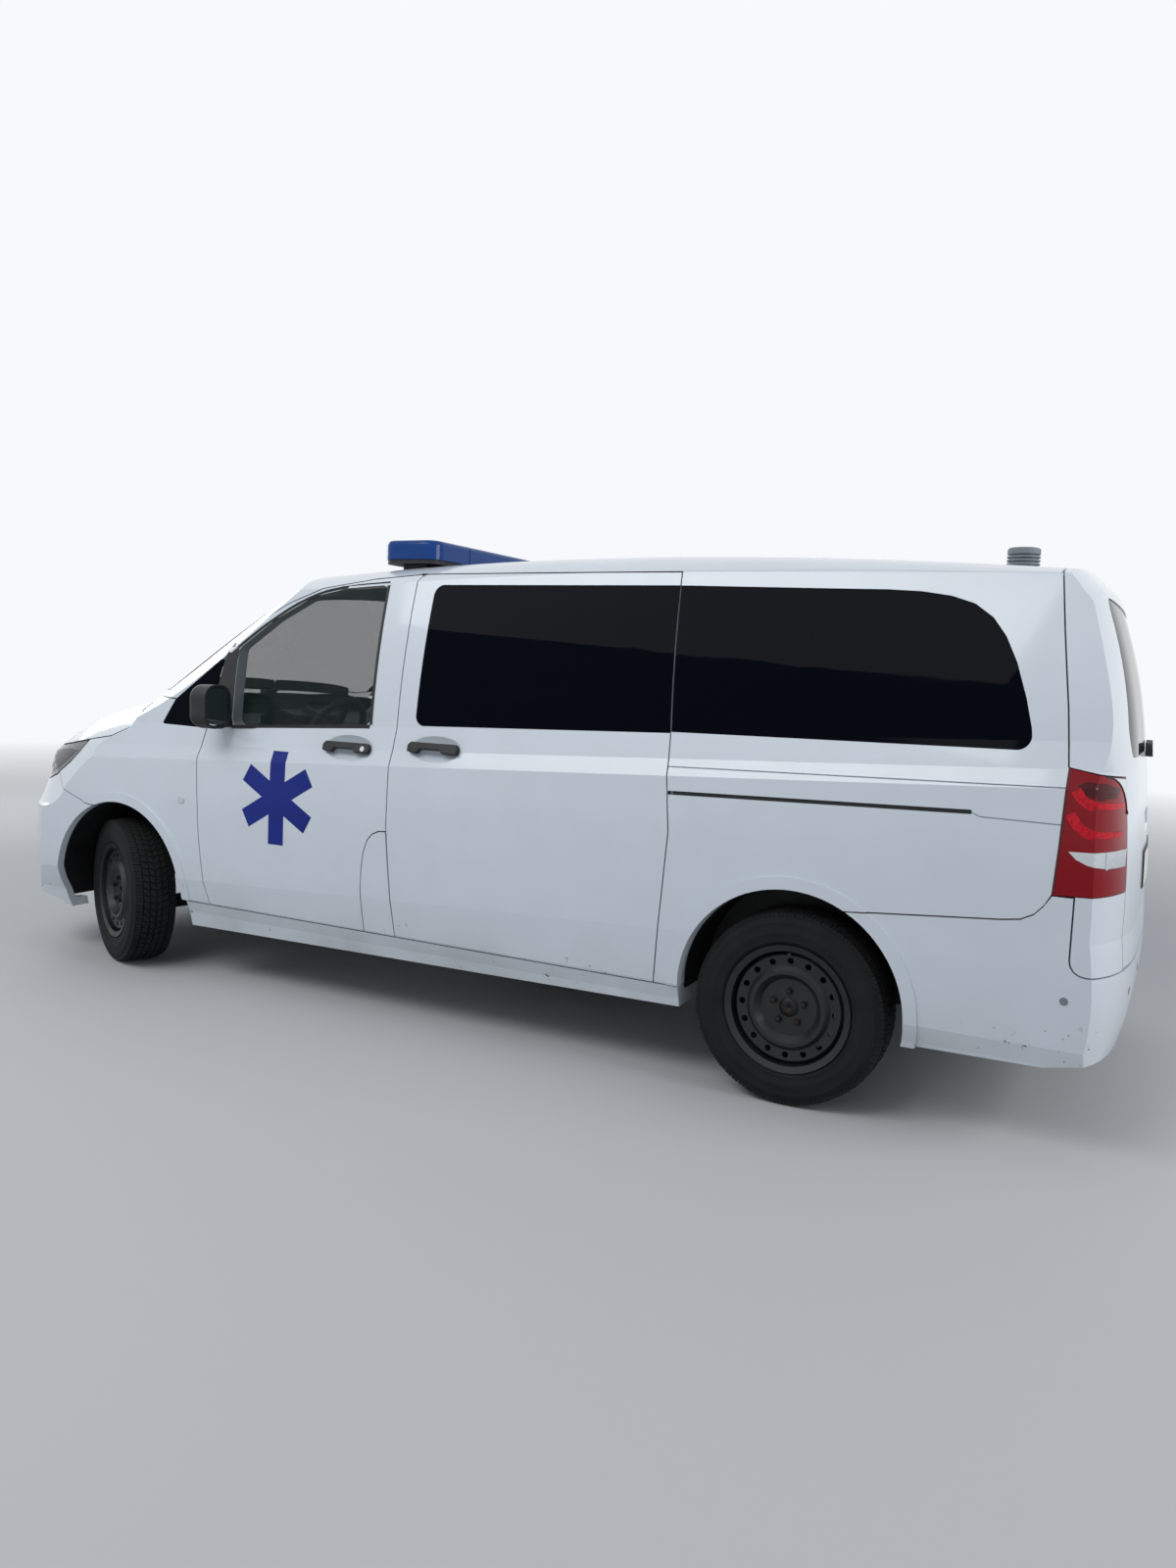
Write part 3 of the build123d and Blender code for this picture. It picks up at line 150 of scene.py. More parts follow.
class Finish(Wiring):
    """A material with its shader, and the mixes that most surfaces need."""

    def __init__(self, name, colour, roughness=0.5, metallic=0.0, **values):
        self.material = bpy.data.materials.new(name)
        self.material.use_nodes = True
        super().__init__(self.material.node_tree)
        self.shader = self.tree.nodes["Principled BSDF"]
        self.place = self.node("ShaderNodeTexCoord").outputs["Object"]
        self.set(Base_Color=colour, Roughness=roughness, Metallic=metallic, **values)

    def set(self, **values):
        for label, value in values.items():
            self.put(self.shader.inputs[label.replace("_", " ")], value)

    def noise(self, scale, detail=3.0, stretch=(1, 1, 1)):
        """Noise from 0 to 1, in features of about 1/scale metres."""
        mapping = self.node("ShaderNodeMapping", {"Scale": stretch, "Vector": self.place})
        inputs = {"Scale": scale, "Detail": detail, "Vector": mapping.outputs["Vector"]}
        return self.node("ShaderNodeTexNoise", inputs).outputs["Fac"]

    def waves(self, direction, scale, distortion=0.0):
        inputs = {"Scale": scale, "Distortion": distortion, "Vector": self.place}
        return self.node("ShaderNodeTexWave", inputs, bands_direction=direction).outputs["Fac"]

    def range(self, value, low, high, new_low=0.0, new_high=1.0):
        inputs = {"Value": value, "From Min": low, "From Max": high, "To Min": new_low, "To Max": new_high}
        return self.node("ShaderNodeMapRange", inputs).outputs["Result"]

    def blend(self, factor, first, second):
        """Mixes two colours, given as text or as an output."""
        inputs = {"Factor": factor, "A": first, "B": second}
        return self.node("ShaderNodeMix", inputs, data_type="RGBA").outputs["Result"]

    def dust(self, scale, detail, low, high, first, second, most=1.0):
        """Colours the surface by noise, with at most this share of the second colour."""
        share = self.range(self.noise(scale, detail), low, high, 0.0, most)
        self.set(Base_Color=self.blend(share, first, second))
        return share

    def wear(self, scale, detail, low, high, least, most):
        """Lets the roughness wander between two values."""
        self.set(Roughness=self.range(self.noise(scale, detail), low, high, least, most))

    def bump(self, height, strength, distance):
        inputs = {"Height": height, "Strength": strength, "Distance": distance}
        self.set(Normal=self.node("ShaderNodeBump", inputs).outputs["Normal"])

    def grain(self, scale, detail, strength, distance):
        self.bump(self.noise(scale, detail), strength, distance)


# %% [markdown]
# The paint is plain white, slightly cool, under a clear coat. A real working van is never clean
# all over: a thin film of road dirt thickens towards the sills and behind the wheels, so the
# colour and the gloss are mixed by height and by a soft noise.

# %% White paint


def white_paint():
    paint = Finish("white_paint", "#DDE5EC", 0.32, Coat_Weight=0.6, Coat_Roughness=0.06)
    height = paint.node("ShaderNodeSeparateXYZ", {"Vector": paint.place}).outputs["Z"]
    low = paint.range(height, 0.62, 0.27)
    patches = paint.range(paint.noise(2.2, 5.0), 0.35, 0.75)
    dirt = paint.math("MULTIPLY", paint.math("MULTIPLY", low, low), patches)
    film = paint.math("MULTIPLY", paint.range(paint.noise(5.0, 4.0), 0.4, 0.8), 0.06)
    amount = paint.math("ADD", paint.math("MULTIPLY", dirt, 0.55), film)
    low_edge = paint.range(height, 0.46, 0.36)
    chips = paint.range(paint.noise(38.0, 4.0), 0.68, 0.71)
    knocked = paint.range(paint.noise(3.1, 2.0), 0.5, 0.6)
    scuffs = paint.math("MULTIPLY", paint.math("MULTIPLY", low_edge, chips), knocked)
    dirty = paint.blend(amount, "#DDE5EC", "#8C8A84")
    paint.set(Base_Color=paint.blend(scuffs, dirty, "#3C3C3E"))
    paint.set(Roughness=paint.range(amount, 0.0, 0.6, 0.3, 0.62))
    paint.grain(9.0, 2.0, 0.03, 0.01)
    return paint.material


def primer_steel():
    """Painted inner steel: flatter and greyer than the outer skin."""
    steel = Finish("primer_steel", "#B9BFC4", 0.5)
    steel.dust(6.0, 4.0, 0.35, 0.75, "#BFC5CA", "#9DA0A0")
    steel.grain(120.0, 3.0, 0.05, 0.001)
    return steel.material


# %% [markdown]
# Moulded plastics are told apart by their grain. Trim has a fine leather-like grain that a small
# bump gives, tyres are duller with a dusty bloom, and the pressed steel wheels have a low, dry
# sheen with rust-brown dust in the hollows.

# %% Plastics, rubber and metals


def grained(name, colour, dust_colour, roughness=0.55, grain=900.0, depth=0.12):
    plastic = Finish(name, colour, roughness)
    plastic.dust(9.0, 5.0, 0.45, 0.85, colour, dust_colour, 0.5)
    plastic.wear(14.0, 3.0, 0.3, 0.7, roughness - 0.06, roughness + 0.1)
    plastic.grain(grain, 2.0, depth, 0.0006)
    return plastic.material


def tyre_rubber():
    rubber = Finish("tyre_rubber", "#0C0D0F", 0.82, Specular_IOR_Level=0.3)
    rubber.dust(11.0, 6.0, 0.35, 0.8, "#0B0C0E", "#232323", 0.55)
    rubber.grain(420.0, 3.0, 0.25, 0.0008)
    return rubber.material


def wheel_steel():
    steel = Finish("wheel_steel", "#0C0E12", 0.42)
    steel.dust(16.0, 6.0, 0.42, 0.82, "#0B0D11", "#1D1B1A", 0.5)
    steel.wear(24.0, 4.0, 0.3, 0.7, 0.36, 0.6)
    steel.grain(260.0, 2.0, 0.12, 0.0006)
    return steel.material


def dark_steel():
    steel = Finish("dark_steel", "#2A2A2B", 0.6, 0.6)
    rust = steel.dust(18.0, 6.0, 0.45, 0.75, "#1E1F21", "#35291F")
    steel.set(Roughness=steel.range(rust, 0.0, 1.0, 0.5, 0.85))
    steel.grain(140.0, 4.0, 0.3, 0.001)
    return steel.material


def brushed_alloy(name, colour, roughness):
    alloy = Finish(name, colour, roughness, 0.9)
    lengthwise = (0.05, 1.0, 1.0)
    streaks = alloy.noise(60.0, 3.0, lengthwise)
    alloy.set(Roughness=alloy.range(streaks, 0.3, 0.7, roughness - 0.08, roughness + 0.12))
    alloy.bump(alloy.noise(90.0, 3.0, lengthwise), 0.08, 0.0008)
    return alloy.material


# %% [markdown]
# Glass is a thin sheet, so it must let the eye through without bending the view much. Alpha does
# that cheaply, with a weak reflection over it. The load bay's glass is tinted almost black. The
# cover of each headlamp is smoky, and the red and blue covers are dyed through.

# %% Glass and lenses


def glass(name, tint, opacity, mirror, roughness=0.02):
    """Sheet glass: opacity 0 is clear and 1 hides what is behind; mirror scales its reflection."""
    finish = Finish(name, tint, roughness, IOR=1.3, Alpha=opacity, Specular_IOR_Level=mirror)
    finish.wear(3.0, 4.0, 0.4, 0.8, roughness, roughness + 0.05)
    return finish.material


def lens(name, colour, transmission, coat=0.8, mirror=0.5, roughness=0.08):
    """Clear or dyed moulding: coat and mirror say how strongly the pale sky shows in it."""
    finish = Finish(name, colour, roughness, IOR=1.49, Transmission_Weight=transmission,
                    Specular_IOR_Level=mirror, Coat_Weight=coat, Coat_Roughness=0.03)
    finish.wear(30.0, 3.0, 0.3, 0.7, roughness, roughness + 0.06)
    return finish.material


def woven(name, colour, thread_colour):
    """Seat cloth: a fine over-and-under weave from two crossed waves."""
    cloth = Finish(name, colour, 0.9, Sheen_Weight=0.35, Sheen_Roughness=0.5)
    weave = cloth.math("MULTIPLY", *(cloth.waves(direction, 160.0, 0.6) for direction in "XZ"))
    worn = cloth.range(cloth.noise(7.0, 4.0), 0.4, 0.8, 0.0, 0.35)
    threads = cloth.math("ADD", cloth.math("MULTIPLY", weave, 0.5), worn)
    cloth.set(Base_Color=cloth.blend(threads, colour, thread_colour))
    cloth.bump(weave, 0.4, 0.0008)
    return cloth.material


MATERIALS = {
    "white_paint": white_paint(),
    "black_plastic": grained("black_plastic", "#0A0B0D", "#1E2023"),
    "clear_glass": glass("clear_glass", "#1B2B28", 0.32, 0.5),
    "dark_glass": glass("dark_glass", "#020711", 0.98, 0.06),
    "clear_lens": lens("clear_lens", "#E8EEF2", 0.92),
    "headlamp_cover": lens("headlamp_cover", "#4E555D", 0.75, 0.4, 0.3),
    "red_lens": lens("red_lens", "#8E0415", 0.0, 0.2, 0.12),
    "blue_lens": lens("blue_lens", "#003F86", 0.0, 0.2, 0.15),
    "tyre_rubber": tyre_rubber(),
    "black_steel": wheel_steel(),
    "dark_steel": dark_steel(),
    "primer_steel": primer_steel(),
    "cast_metal": brushed_alloy("cast_metal", "#5B5E61", 0.6),
    "light_alloy": brushed_alloy("light_alloy", "#A9ADB0", 0.4),
    "grey_plastic": grained("grey_plastic", "#7D858B", "#5E6265", 0.5, 500.0),
    "dark_trim": grained("dark_trim", "#24282C", "#3A3F43", 0.6, 700.0, 0.2),
    "light_trim": grained("light_trim", "#C9CCCC", "#A8AAA9", 0.55, 500.0),
    "seat_fabric": woven("seat_fabric", "#232B3A", "#4A5464"),
}

for row in frame["record"]["subparts"]:
    mesh = nodes[row["node"]].data
    mesh.materials.clear()
    mesh.materials.append(MATERIALS[row["material_slot"]])
print("materials:", len(MATERIALS))

# %% [markdown]
# A studio keeps the object readable from every side: a pale floor that takes the shadow, a large
# soft key from above the left side, a weaker fill from the right and rear, and a pale world. The
# background is white only to camera, glossy and transmission rays, so it never adds light.

# %% Floor, world and lamps


HAZE = (0.93, 0.95, 0.97, 1)
FLOOR_HALF = 60.0
HAZE_FROM, HAZE_TO = 4.5, 16.0


def direct_rays(wiring):
    """1 for rays that come straight from the camera or off a gloss, and the ray node itself."""
    path = wiring.node("ShaderNodeLightPath").outputs
    return wiring.math("MAXIMUM", path["Is Camera Ray"], path["Is Glossy Ray"]), path


def pale_floor():
    mesh = bpy.data.meshes.new("floor")
    corners = [(x * FLOOR_HALF, y * FLOOR_HALF, 0) for x, y in ((-1, -1), (1, -1), (1, 1), (-1, 1))]
    mesh.from_pydata(corners, [], [(0, 1, 2, 3)])
    floor = bpy.data.objects.new("floor", mesh)
    bpy.context.scene.collection.objects.link(floor)
    finish = Finish("floor", "#C9CACB", 0.85)
    finish.grain(40.0, 4.0, 0.05, 0.002)
    far = finish.node("ShaderNodeVectorMath", {0: finish.place}, operation="LENGTH").outputs["Value"]
    haze = finish.node("ShaderNodeEmission", {"Color": HAZE}).outputs["Emission"]
    seen, _ = direct_rays(finish)
    amount = finish.math("MULTIPLY", finish.range(far, HAZE_FROM, HAZE_TO), seen)
    surface = finish.mixed(amount, finish.shader.outputs["BSDF"], haze)
    finish.put(finish.tree.nodes["Material Output"].inputs["Surface"], surface)
    mesh.materials.append(finish.material)
    return floor


def pale_world():
    world = bpy.data.worlds.new("studio")
    bpy.context.scene.world = world
    world.use_nodes = True
    wiring = Wiring(world.node_tree)
    soft = world.node_tree.nodes["Background"]
    wiring.put(soft.inputs["Color"], (0.80, 0.88, 1.0, 1))
    wiring.put(soft.inputs["Strength"], 0.34)
    shown = wiring.node("ShaderNodeBackground", {"Color": HAZE, "Strength": 1.0})
    direct, path = direct_rays(wiring)
    seen = wiring.math("MAXIMUM", direct, path["Is Transmission Ray"])
    surface = wiring.mixed(seen, soft.outputs[0], shown.outputs[0])
    wiring.put(world.node_tree.nodes["World Output"].inputs["Surface"], surface)


def area_lamp(name, at, towards, size, power):
    data = bpy.data.lights.new(name, "AREA")
    data.shape = "RECTANGLE"
    data.size, data.size_y = size
    data.energy = power
    lamp = bpy.data.objects.new(name, data)
    bpy.context.scene.collection.objects.link(lamp)
    aim = (Vector(towards) - Vector(at)).to_track_quat("-Z", "Y")
    lamp.matrix_world = Matrix.Translation(at) @ aim.to_matrix().to_4x4()


pale_floor()
pale_world()
LAMPS = {"key": ((1.5, 5.5, 6.0), (0, 0, 0.9), (6.0, 3.0), 215),
         "rear": ((-8.0, 0.5, 4.0), (-1.0, 0, 0.9), (4.0, 3.0), 210),
         "front": ((7.5, -2.0, 4.0), (1.0, 0, 0.9), (4.0, 3.0), 95)}
for name, (at, towards, size, power) in LAMPS.items():
    area_lamp(name, at, towards, size, power)
bpy.context.scene.view_settings.view_transform = "Standard"
print("lamps:", len(LAMPS))

# %% [markdown]
# Small mesh helpers come next. A piece is always a plain mesh at the origin, given its material
# and the CAD body that carries it. A right-hand piece is the left-hand one mirrored in Y,
# with its faces turned round again so that they still point outwards.

# %% Mesh helpers


def new_object(name, mesh):
    made = bpy.data.objects.new(name, mesh)
    bpy.context.scene.collection.objects.link(made)
    return made


def shaded(mesh, smooth):
    for polygon in mesh.polygons:
        polygon.use_smooth = smooth
    return mesh


def mesh_of(name, vertices, faces, smooth=False):
    mesh = bpy.data.meshes.new(name)
    mesh.from_pydata([tuple(v) for v in vertices], [], faces)
    mesh.validate()
    return shaded(mesh, smooth)


def mesh_from(work, name):
    """The mesh of a finished bmesh, which is freed."""
    mesh = bpy.data.meshes.new(name)
    work.to_mesh(mesh)
    work.free()
    return mesh


def outward(mesh):
    """Merges doubles and makes every face point out."""
    work = bmesh.new()
    work.from_mesh(mesh)
    bmesh.ops.remove_doubles(work, verts=work.verts, dist=0.00002)
    bmesh.ops.recalc_face_normals(work, faces=work.faces)
    work.to_mesh(mesh)
    work.free()
    return mesh


def lofted(name, low_ring, high_ring):
    """A closed solid between two rings of equally many corners."""
    n = len(low_ring)
    faces = [tuple(range(n, 2 * n)), tuple(reversed(range(n)))]
    faces += [(i, (i + 1) % n, n + (i + 1) % n, n + i) for i in range(n)]
    return outward(mesh_of(name, [*low_ring, *high_ring], faces))


def bevelled_block(name, low, high, bevel, segments=2):
    """A block between two corners, with its edges rounded."""
    work = bmesh.new()
    bmesh.ops.create_cube(work, size=1.0)
    bmesh.ops.scale(work, vec=tuple(b - a for a, b in zip(low, high)), verts=work.verts)
    bmesh.ops.translate(work, vec=tuple((a + b) / 2 for a, b in zip(low, high)), verts=work.verts)
    bmesh.ops.bevel(work, geom=work.edges[:], offset=bevel, segments=segments, profile=0.5, affect="EDGES")
    return mesh_from(work, name)


def flipped(mesh, name):
    """The same mesh on the other side of the van."""
    other = mesh.copy()
    other.name = name
    other.transform(Matrix.Diagonal((1, -1, 1, 1)))
    other.flip_normals()
    return other


def settle(piece, body, slot, material=None, replaces=()):
    """Gives a finished piece its material and its body; the slot is not used."""
    if material is not None:
        piece.data.materials.clear()
        piece.data.materials.append(MATERIALS[material])
    if replaces:
        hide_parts(*replaces)
    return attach(piece, body)


def pair(label, mesh, body, slot, material):
    """The left-hand piece and its mirror image; a {} in the body's name takes the side."""
    for side in SIDES:
        name = f"{label}_{side}"
        shape = mesh if side == "left" else flipped(mesh, name)
        shape.name = name
        settle(new_object(name, shape), body.format(side), slot, material)


def baked_mesh(piece, name):
    """The piece's mesh with its modifiers worked in; the piece itself goes."""
    graph = bpy.context.evaluated_depsgraph_get()
    mesh = bpy.data.meshes.new_from_object(piece.evaluated_get(graph), depsgraph=graph)
    mesh.name = name
    bpy.data.objects.remove(piece)
    return mesh


def baked(piece, name):
    return new_object(name, baked_mesh(piece, name))


def joined(name, meshes):
    """One mesh out of several, each keeping its materials."""
    work = bmesh.new()
    slots = []
    for mesh in meshes:
        first = len(work.faces)
        work.from_mesh(mesh)
        work.faces.ensure_lookup_table()
        names = [m.name if m else "" for m in mesh.materials] or [""]
        for face in work.faces[first:]:
            wanted = names[min(face.material_index, len(names) - 1)]
            if wanted not in slots:
                slots.append(wanted)
            face.material_index = slots.index(wanted)
    result = mesh_from(work, name)
    for wanted in slots:
        result.materials.append(bpy.data.materials.get(wanted))
    return result


# %% [markdown]
# Repeats are made by Geometry Nodes. Every tree sets copies of a unit on points, realizes them so
# that they export as real mesh, and gives them their material. The first one turns the copies
# about the wheel's own axle at equal steps: it serves the tread and the wheel bolts.

# %% A tree that repeats a unit round an axle


def repeat_tree(name, extra, spread):
    """A tree that sets copies of its unit as `spread` says; `extra` names its further inputs."""
    tree = bpy.data.node_groups.new(name, "GeometryNodeTree")
    shared = (("Geometry", "Geometry"), ("Unit", "Object"), ("Count", "Int"), ("Material", "Material"))
    for label, kind in (*shared, *extra):
        tree.interface.new_socket(label, in_out="INPUT", socket_type="NodeSocket" + kind)
    tree.interface.new_socket("Geometry", in_out="OUTPUT", socket_type="NodeSocketGeometry")
    wiring = Wiring(tree)
    given = wiring.node("NodeGroupInput").outputs
    unit = wiring.node("GeometryNodeObjectInfo", {"Object": given["Unit"]}).outputs["Geometry"]
    copies = wiring.node("GeometryNodeInstanceOnPoints", {"Instance": unit, **spread(wiring, given)})
    real = wiring.node("GeometryNodeRealizeInstances", {"Geometry": copies.outputs["Instances"]})
    paint = wiring.node("GeometryNodeSetMaterial", {"Geometry": real.outputs["Geometry"],
                                                    "Material": given["Material"]})
    wiring.node("NodeGroupOutput", {"Geometry": paint.outputs["Geometry"]})
    return tree


def about_the_axle(wiring, given):
    """All points at the origin, each copy turned one step further about Y."""
    points = wiring.node("GeometryNodePoints", {"Count": given["Count"]}).outputs["Points"]
    index = wiring.node("GeometryNodeInputIndex").outputs["Index"]
    turn = wiring.math("MULTIPLY", wiring.math("DIVIDE", index, given["Count"]), 2 * math.pi)
    return {"Points": points, "Rotation": wiring.node("ShaderNodeCombineXYZ", {"Y": turn}).outputs[0]}


def repeated(name, tree, unit_mesh, material, **inputs):
    """Runs a tree on an empty host, with its inputs set by their sockets' identifiers."""
    unit = new_object(name + "_unit", unit_mesh)
    host = new_object(name + "_host", bpy.data.meshes.new(name + "_host"))
    modifier = host.modifiers.new("repeat", "NODES")
    modifier.node_group = tree
    sockets = {i.name: i.identifier for i in tree.interface.items_tree if i.in_out == "INPUT"}
    for label, value in {"Unit": unit, "Material": MATERIALS[material], **inputs}.items():
        modifier[sockets[label]] = value
    made = baked(host, name)
    bpy.data.objects.remove(unit)
    return made


RING = repeat_tree("ring_of_units", (), about_the_axle)


def spun(profile, steps, name):
    """A closed outline of (radius, y) turned about the Y axis."""
    count = len(profile)
    vertices, faces = [], []
    for i in range(steps):
        a = 2 * math.pi * i / steps
        vertices += [(r * math.sin(a), y, r * math.cos(a)) for r, y in profile]
        here, there = i * count, (i + 1) % steps * count
        for k in range(count):
            after = (k + 1) % count
            faces.append((here + k, here + after, there + after, there + k))
    return outward(mesh_of(name, vertices, faces, True))


# %% [markdown]
# The tyre is an all-season van tyre. Its carcass is one outline turned about the axle, with the
# bulge of the sidewall, a rim guard and two fine rings. The tread is separate blocks: broad
# shoulder blocks with sipes, and slanted centre blocks that meet in a chevron. Every block is
# modelled once and a ring of copies is made of it.

# %% Tyre
TREAD_PITCHES = 68
GROOVE_DEPTH = 0.014
SHOULDER_ACROSS = (0.060, 0.0905)
SHOULDER_LEAN = 0.004
SHOULDER_GAP = 0.0030
SIPE = 0.0009
CENTRE_ROWS = ((0.0035, 0.0250, 0.0), (0.0290, 0.0550, 0.006))
CENTRE_SLANT = 0.013
CENTRE_GAP = 0.0045
CROWN_SHARE = 0.007
CARCASS_TOP = [(0.0085, 0.0), (0.0085, 0.058), (0.012, 0.080), (0.022, 0.091)]
SIDEWALL = [(0.030, 0.0075), (0.036, 0.0050), (0.038, 0.0034), (0.041, 0.0034), (0.043, 0.0042),
            (0.058, 0.0006), (0.072, 0.0002), (0.074, -0.0004), (0.076, 0.0004), (0.090, 0.0035),
            (0.099, 0.0060), (0.101, 0.0052), (0.104, 0.0056), (0.106, 0.0080)]
BEAD = [(0.222, 0.0150), (0.2185, 0.0180), (0.206, 0.0260)]


def block_mesh(name, outline, low, high, taper):
    """A tread block from a plan outline of (around, across) in metres, standing on the carcass."""
    centre = Vector((sum(p[0] for p in outline), sum(p[1] for p in outline))) / len(outline)
    rings = []
    for height, shrink in ((low, 0.0), (high, taper)):
        ring = []
        for x, y in outline:
            away = Vector((x, y)) - centre
            scale = 1 - shrink / max(away.length, 1e-6)
            crown = CROWN_SHARE * (abs(y) / 0.09) ** 4
            ring.append((centre.x + away.x * scale, centre.y + away.y * scale, height - crown))
        rings.append(ring)
    return lofted(name, *rings)


def tyre_carcass():
    half = TYRE_W / 2
    side = [(TYRE_R - drop, y) for drop, y in CARCASS_TOP]
    side += [(TYRE_R - drop, half - inset) for drop, inset in SIDEWALL]
    side += [(r, half - inset) for r, inset in BEAD]
    return spun(side + [(r, -y) for r, y in reversed(side[1:])], 128, "carcass")


def tread_units():
    """One pitch of the tread: per side two shoulder blocks and two slanted centre blocks."""
    pitch = 2 * math.pi * TYRE_R / TREAD_PITCHES
    top = TYRE_R + 0.0002
    base = TYRE_R - GROOVE_DEPTH
    units = []

    def add_block(kind, x0, x1, y0, y1, lean, top, taper):
        outline = [(x0, y0), (x1, y0), (x1 + lean, y1), (x0 + lean, y1)]
        units.append(block_mesh(kind, outline, base, top, taper))

    for side in (1, -1):
        y0, y1 = (side * y for y in SHOULDER_ACROSS)
        for x0, gap in ((-pitch / 2, SIPE), (0.0, SHOULDER_GAP)):
            add_block("shoulder", x0, x0 + pitch / 2 - gap, y0, y1, SHOULDER_LEAN, top - 0.0006, 0.0005)
        for y0, y1, shift in CENTRE_ROWS:
            x0 = -pitch / 2 + shift
            add_block("centre", x0, x0 + pitch - CENTRE_GAP, side * y0, side * y1, CENTRE_SLANT, top, 0.0008)
    return units


carcass = tyre_carcass()
carcass.materials.append(MATERIALS["tyre_rubber"])
tread = repeated("tread", RING, joined("tread_unit", tread_units()), "tyre_rubber", Count=TREAD_PITCHES)
TYRE_MESH = joined("tyre", [carcass, tread.data])
bpy.data.objects.remove(tread)
print("tyre faces:", len(TYRE_MESH.polygons))

# %% [markdown]
# Each wheel's pieces are made once about the origin, outboard side towards +Y, and then copied to
# the four axle ends. A right-hand wheel is turned half round, which also turns its tread the
# way a real one turns. The front ones are steered, so their place comes from their own joints.

# %% Wheel places


def wheel_place(end, side):
    spin = joints[f"{end}_wheel_{side}_spin"]
    turn = Matrix.Rotation(STEER if end == "front" else 0.0, 4, "Z")
    half = Matrix.Rotation(0.0 if side == "left" else math.pi, 4, "Z")
    return Matrix.Translation(spin["pos_m"]) @ turn @ half


def on_every_wheel(label, source, slot, instead_of_tyre=False):
    for end in ("front", "rear"):
        for side in SIDES:
            mesh = source.copy()
            mesh.transform(wheel_place(end, side))
            stands_for = [f"{end}_tyre_{side}"] if instead_of_tyre else ()
            settle(new_object(f"{label}_{end}_{side}", mesh), f"wheel_{end}_{side}", slot, None, stands_for)


on_every_wheel("treaded_tyre", TYRE_MESH, "tyre_rubber", True)

# %% [markdown]
# A steel wheel is held by five domed bolts round a bored centre. The bolt's unit is a hexagon with
# a collar, and the same ring tree sets five of them on their circle. A short valve stem stands by
# the rim.

# %% Wheel bolts, hub cap and valve
BOLT_COUNT = 5
BOLT_AT = (0.0, 0.056)
HUB_FACE = 0.062
HUB_CAP = [(0.0005, 0.066), (0.024, 0.066), (0.027, 0.063), (0.031, 0.062), (0.033, 0.058), (0.033, 0.050),
           (0.0005, 0.050)]
VALVE_AT = (0.0, 0.190)


def prism(sides, radius, y0, y1, centre=(0.0, 0.0), shrink=1.0):
    rings = []
    for y, r in ((y0, radius), (y1, radius * shrink)):
        turns = [2 * math.pi * i / sides for i in range(sides)]
        rings.append([(centre[0] + r * math.sin(a), y, centre[1] + r * math.cos(a)) for a in turns])
    return lofted("prism", *rings)


def bolt_unit():
    """Collar, hexagon and dome, one on the other."""
    rows = ((24, 0.0125, 0.0, 0.004, 0.94), (6, 0.0098, 0.004, 0.017, 0.97), (6, 0.0094, 0.017, 0.0195, 0.6))
    return joined("bolt_unit", [prism(sides, r, HUB_FACE + low, HUB_FACE + high, BOLT_AT, shrink)
                                for sides, r, low, high, shrink in rows])


bolts = repeated("bolts", RING, bolt_unit(), "dark_steel", Count=BOLT_COUNT)
hub = spun(HUB_CAP, 48, "hub_cap")
hub.materials.append(MATERIALS["dark_steel"])
valve = joined("valve", [prism(16, 0.0042, 0.062, 0.090, VALVE_AT, 0.9),
                         prism(12, 0.0050, 0.080, 0.094, VALVE_AT)])
valve.materials.clear()
valve.materials.append(MATERIALS["black_plastic"])
on_every_wheel("wheel_bolts", joined("wheel_centre", [bolts.data, hub, valve]), "dark_steel")
bpy.data.objects.remove(bolts)

# %% [markdown]
# The cab seats are cloth over foam. A block with sharp corners would look like furniture, so each
# pad starts as a slightly small rounded block, is cut into even voxels and is blown up as cloth,
# with a cap on how far a point may move. The crown and the drawn-in corners come from that.

# %% Padded seat parts
PAD_VOXEL = 0.011
PRESSURE_FRAMES = 20
PADS = {"cushion": ((0.46, 0.43, 0.10), 0.03, 0.026), "back": ((0.09, 0.43, 0.57), 0.03, 0.026),
        "head": ((0.07, 0.23, 0.16), 0.028, 0.014)}


def pad_start(size, radius):
    """A block with rounded edges, a little smaller than the finished pad, in even voxels."""
    half = Vector(size) / 2
    pad = new_object("pad_start", bevelled_block("pad_start", -half, half, radius, 3))
    voxels = pad.modifiers.new("voxels", "REMESH")
    voxels.mode = "VOXEL"
    voxels.voxel_size = PAD_VOXEL
    return baked(pad, "pad_start")


def inflated(pad, name, cap):
    """The pad blown up as cloth, with no point moving further than the cap, and then smoothed."""
    start = [v.co.copy() for v in pad.data.vertices]
    cloth = pad.modifiers.new("cloth", "CLOTH")
    cloth.settings.use_pressure = True
    cloth.settings.uniform_pressure_force = 4.0
    cloth.settings.effector_weights.gravity = 0.0
    cloth.point_cache.frame_end = PRESSURE_FRAMES
    for number in range(1, PRESSURE_FRAMES + 1):
        bpy.context.scene.frame_set(number)
    shape = pad.evaluated_get(bpy.context.evaluated_depsgraph_get()).to_mesh()
    moved = [v.co.copy() for v in shape.vertices]
    pad.modifiers.remove(cloth)
    for vertex, a, b in zip(pad.data.vertices, start, moved):
        step = b - a
        vertex.co = a + step * min(1.0, cap / max(step.length, 1e-9))
    bpy.context.scene.frame_set(1)
    finer = pad.modifiers.new("finer", "SUBSURF")
    finer.levels = finer.render_levels = 1
    pad = baked(pad, name)
    shaded(pad.data, True)
    return pad


CUSHION, BACK, HEAD = (inflated(pad_start(size, radius), name, cap)
                       for name, (size, radius, cap) in PADS.items())
print("pads:", [tuple(round(d, 3) for d in pad.dimensions) for pad in (CUSHION, BACK, HEAD)])

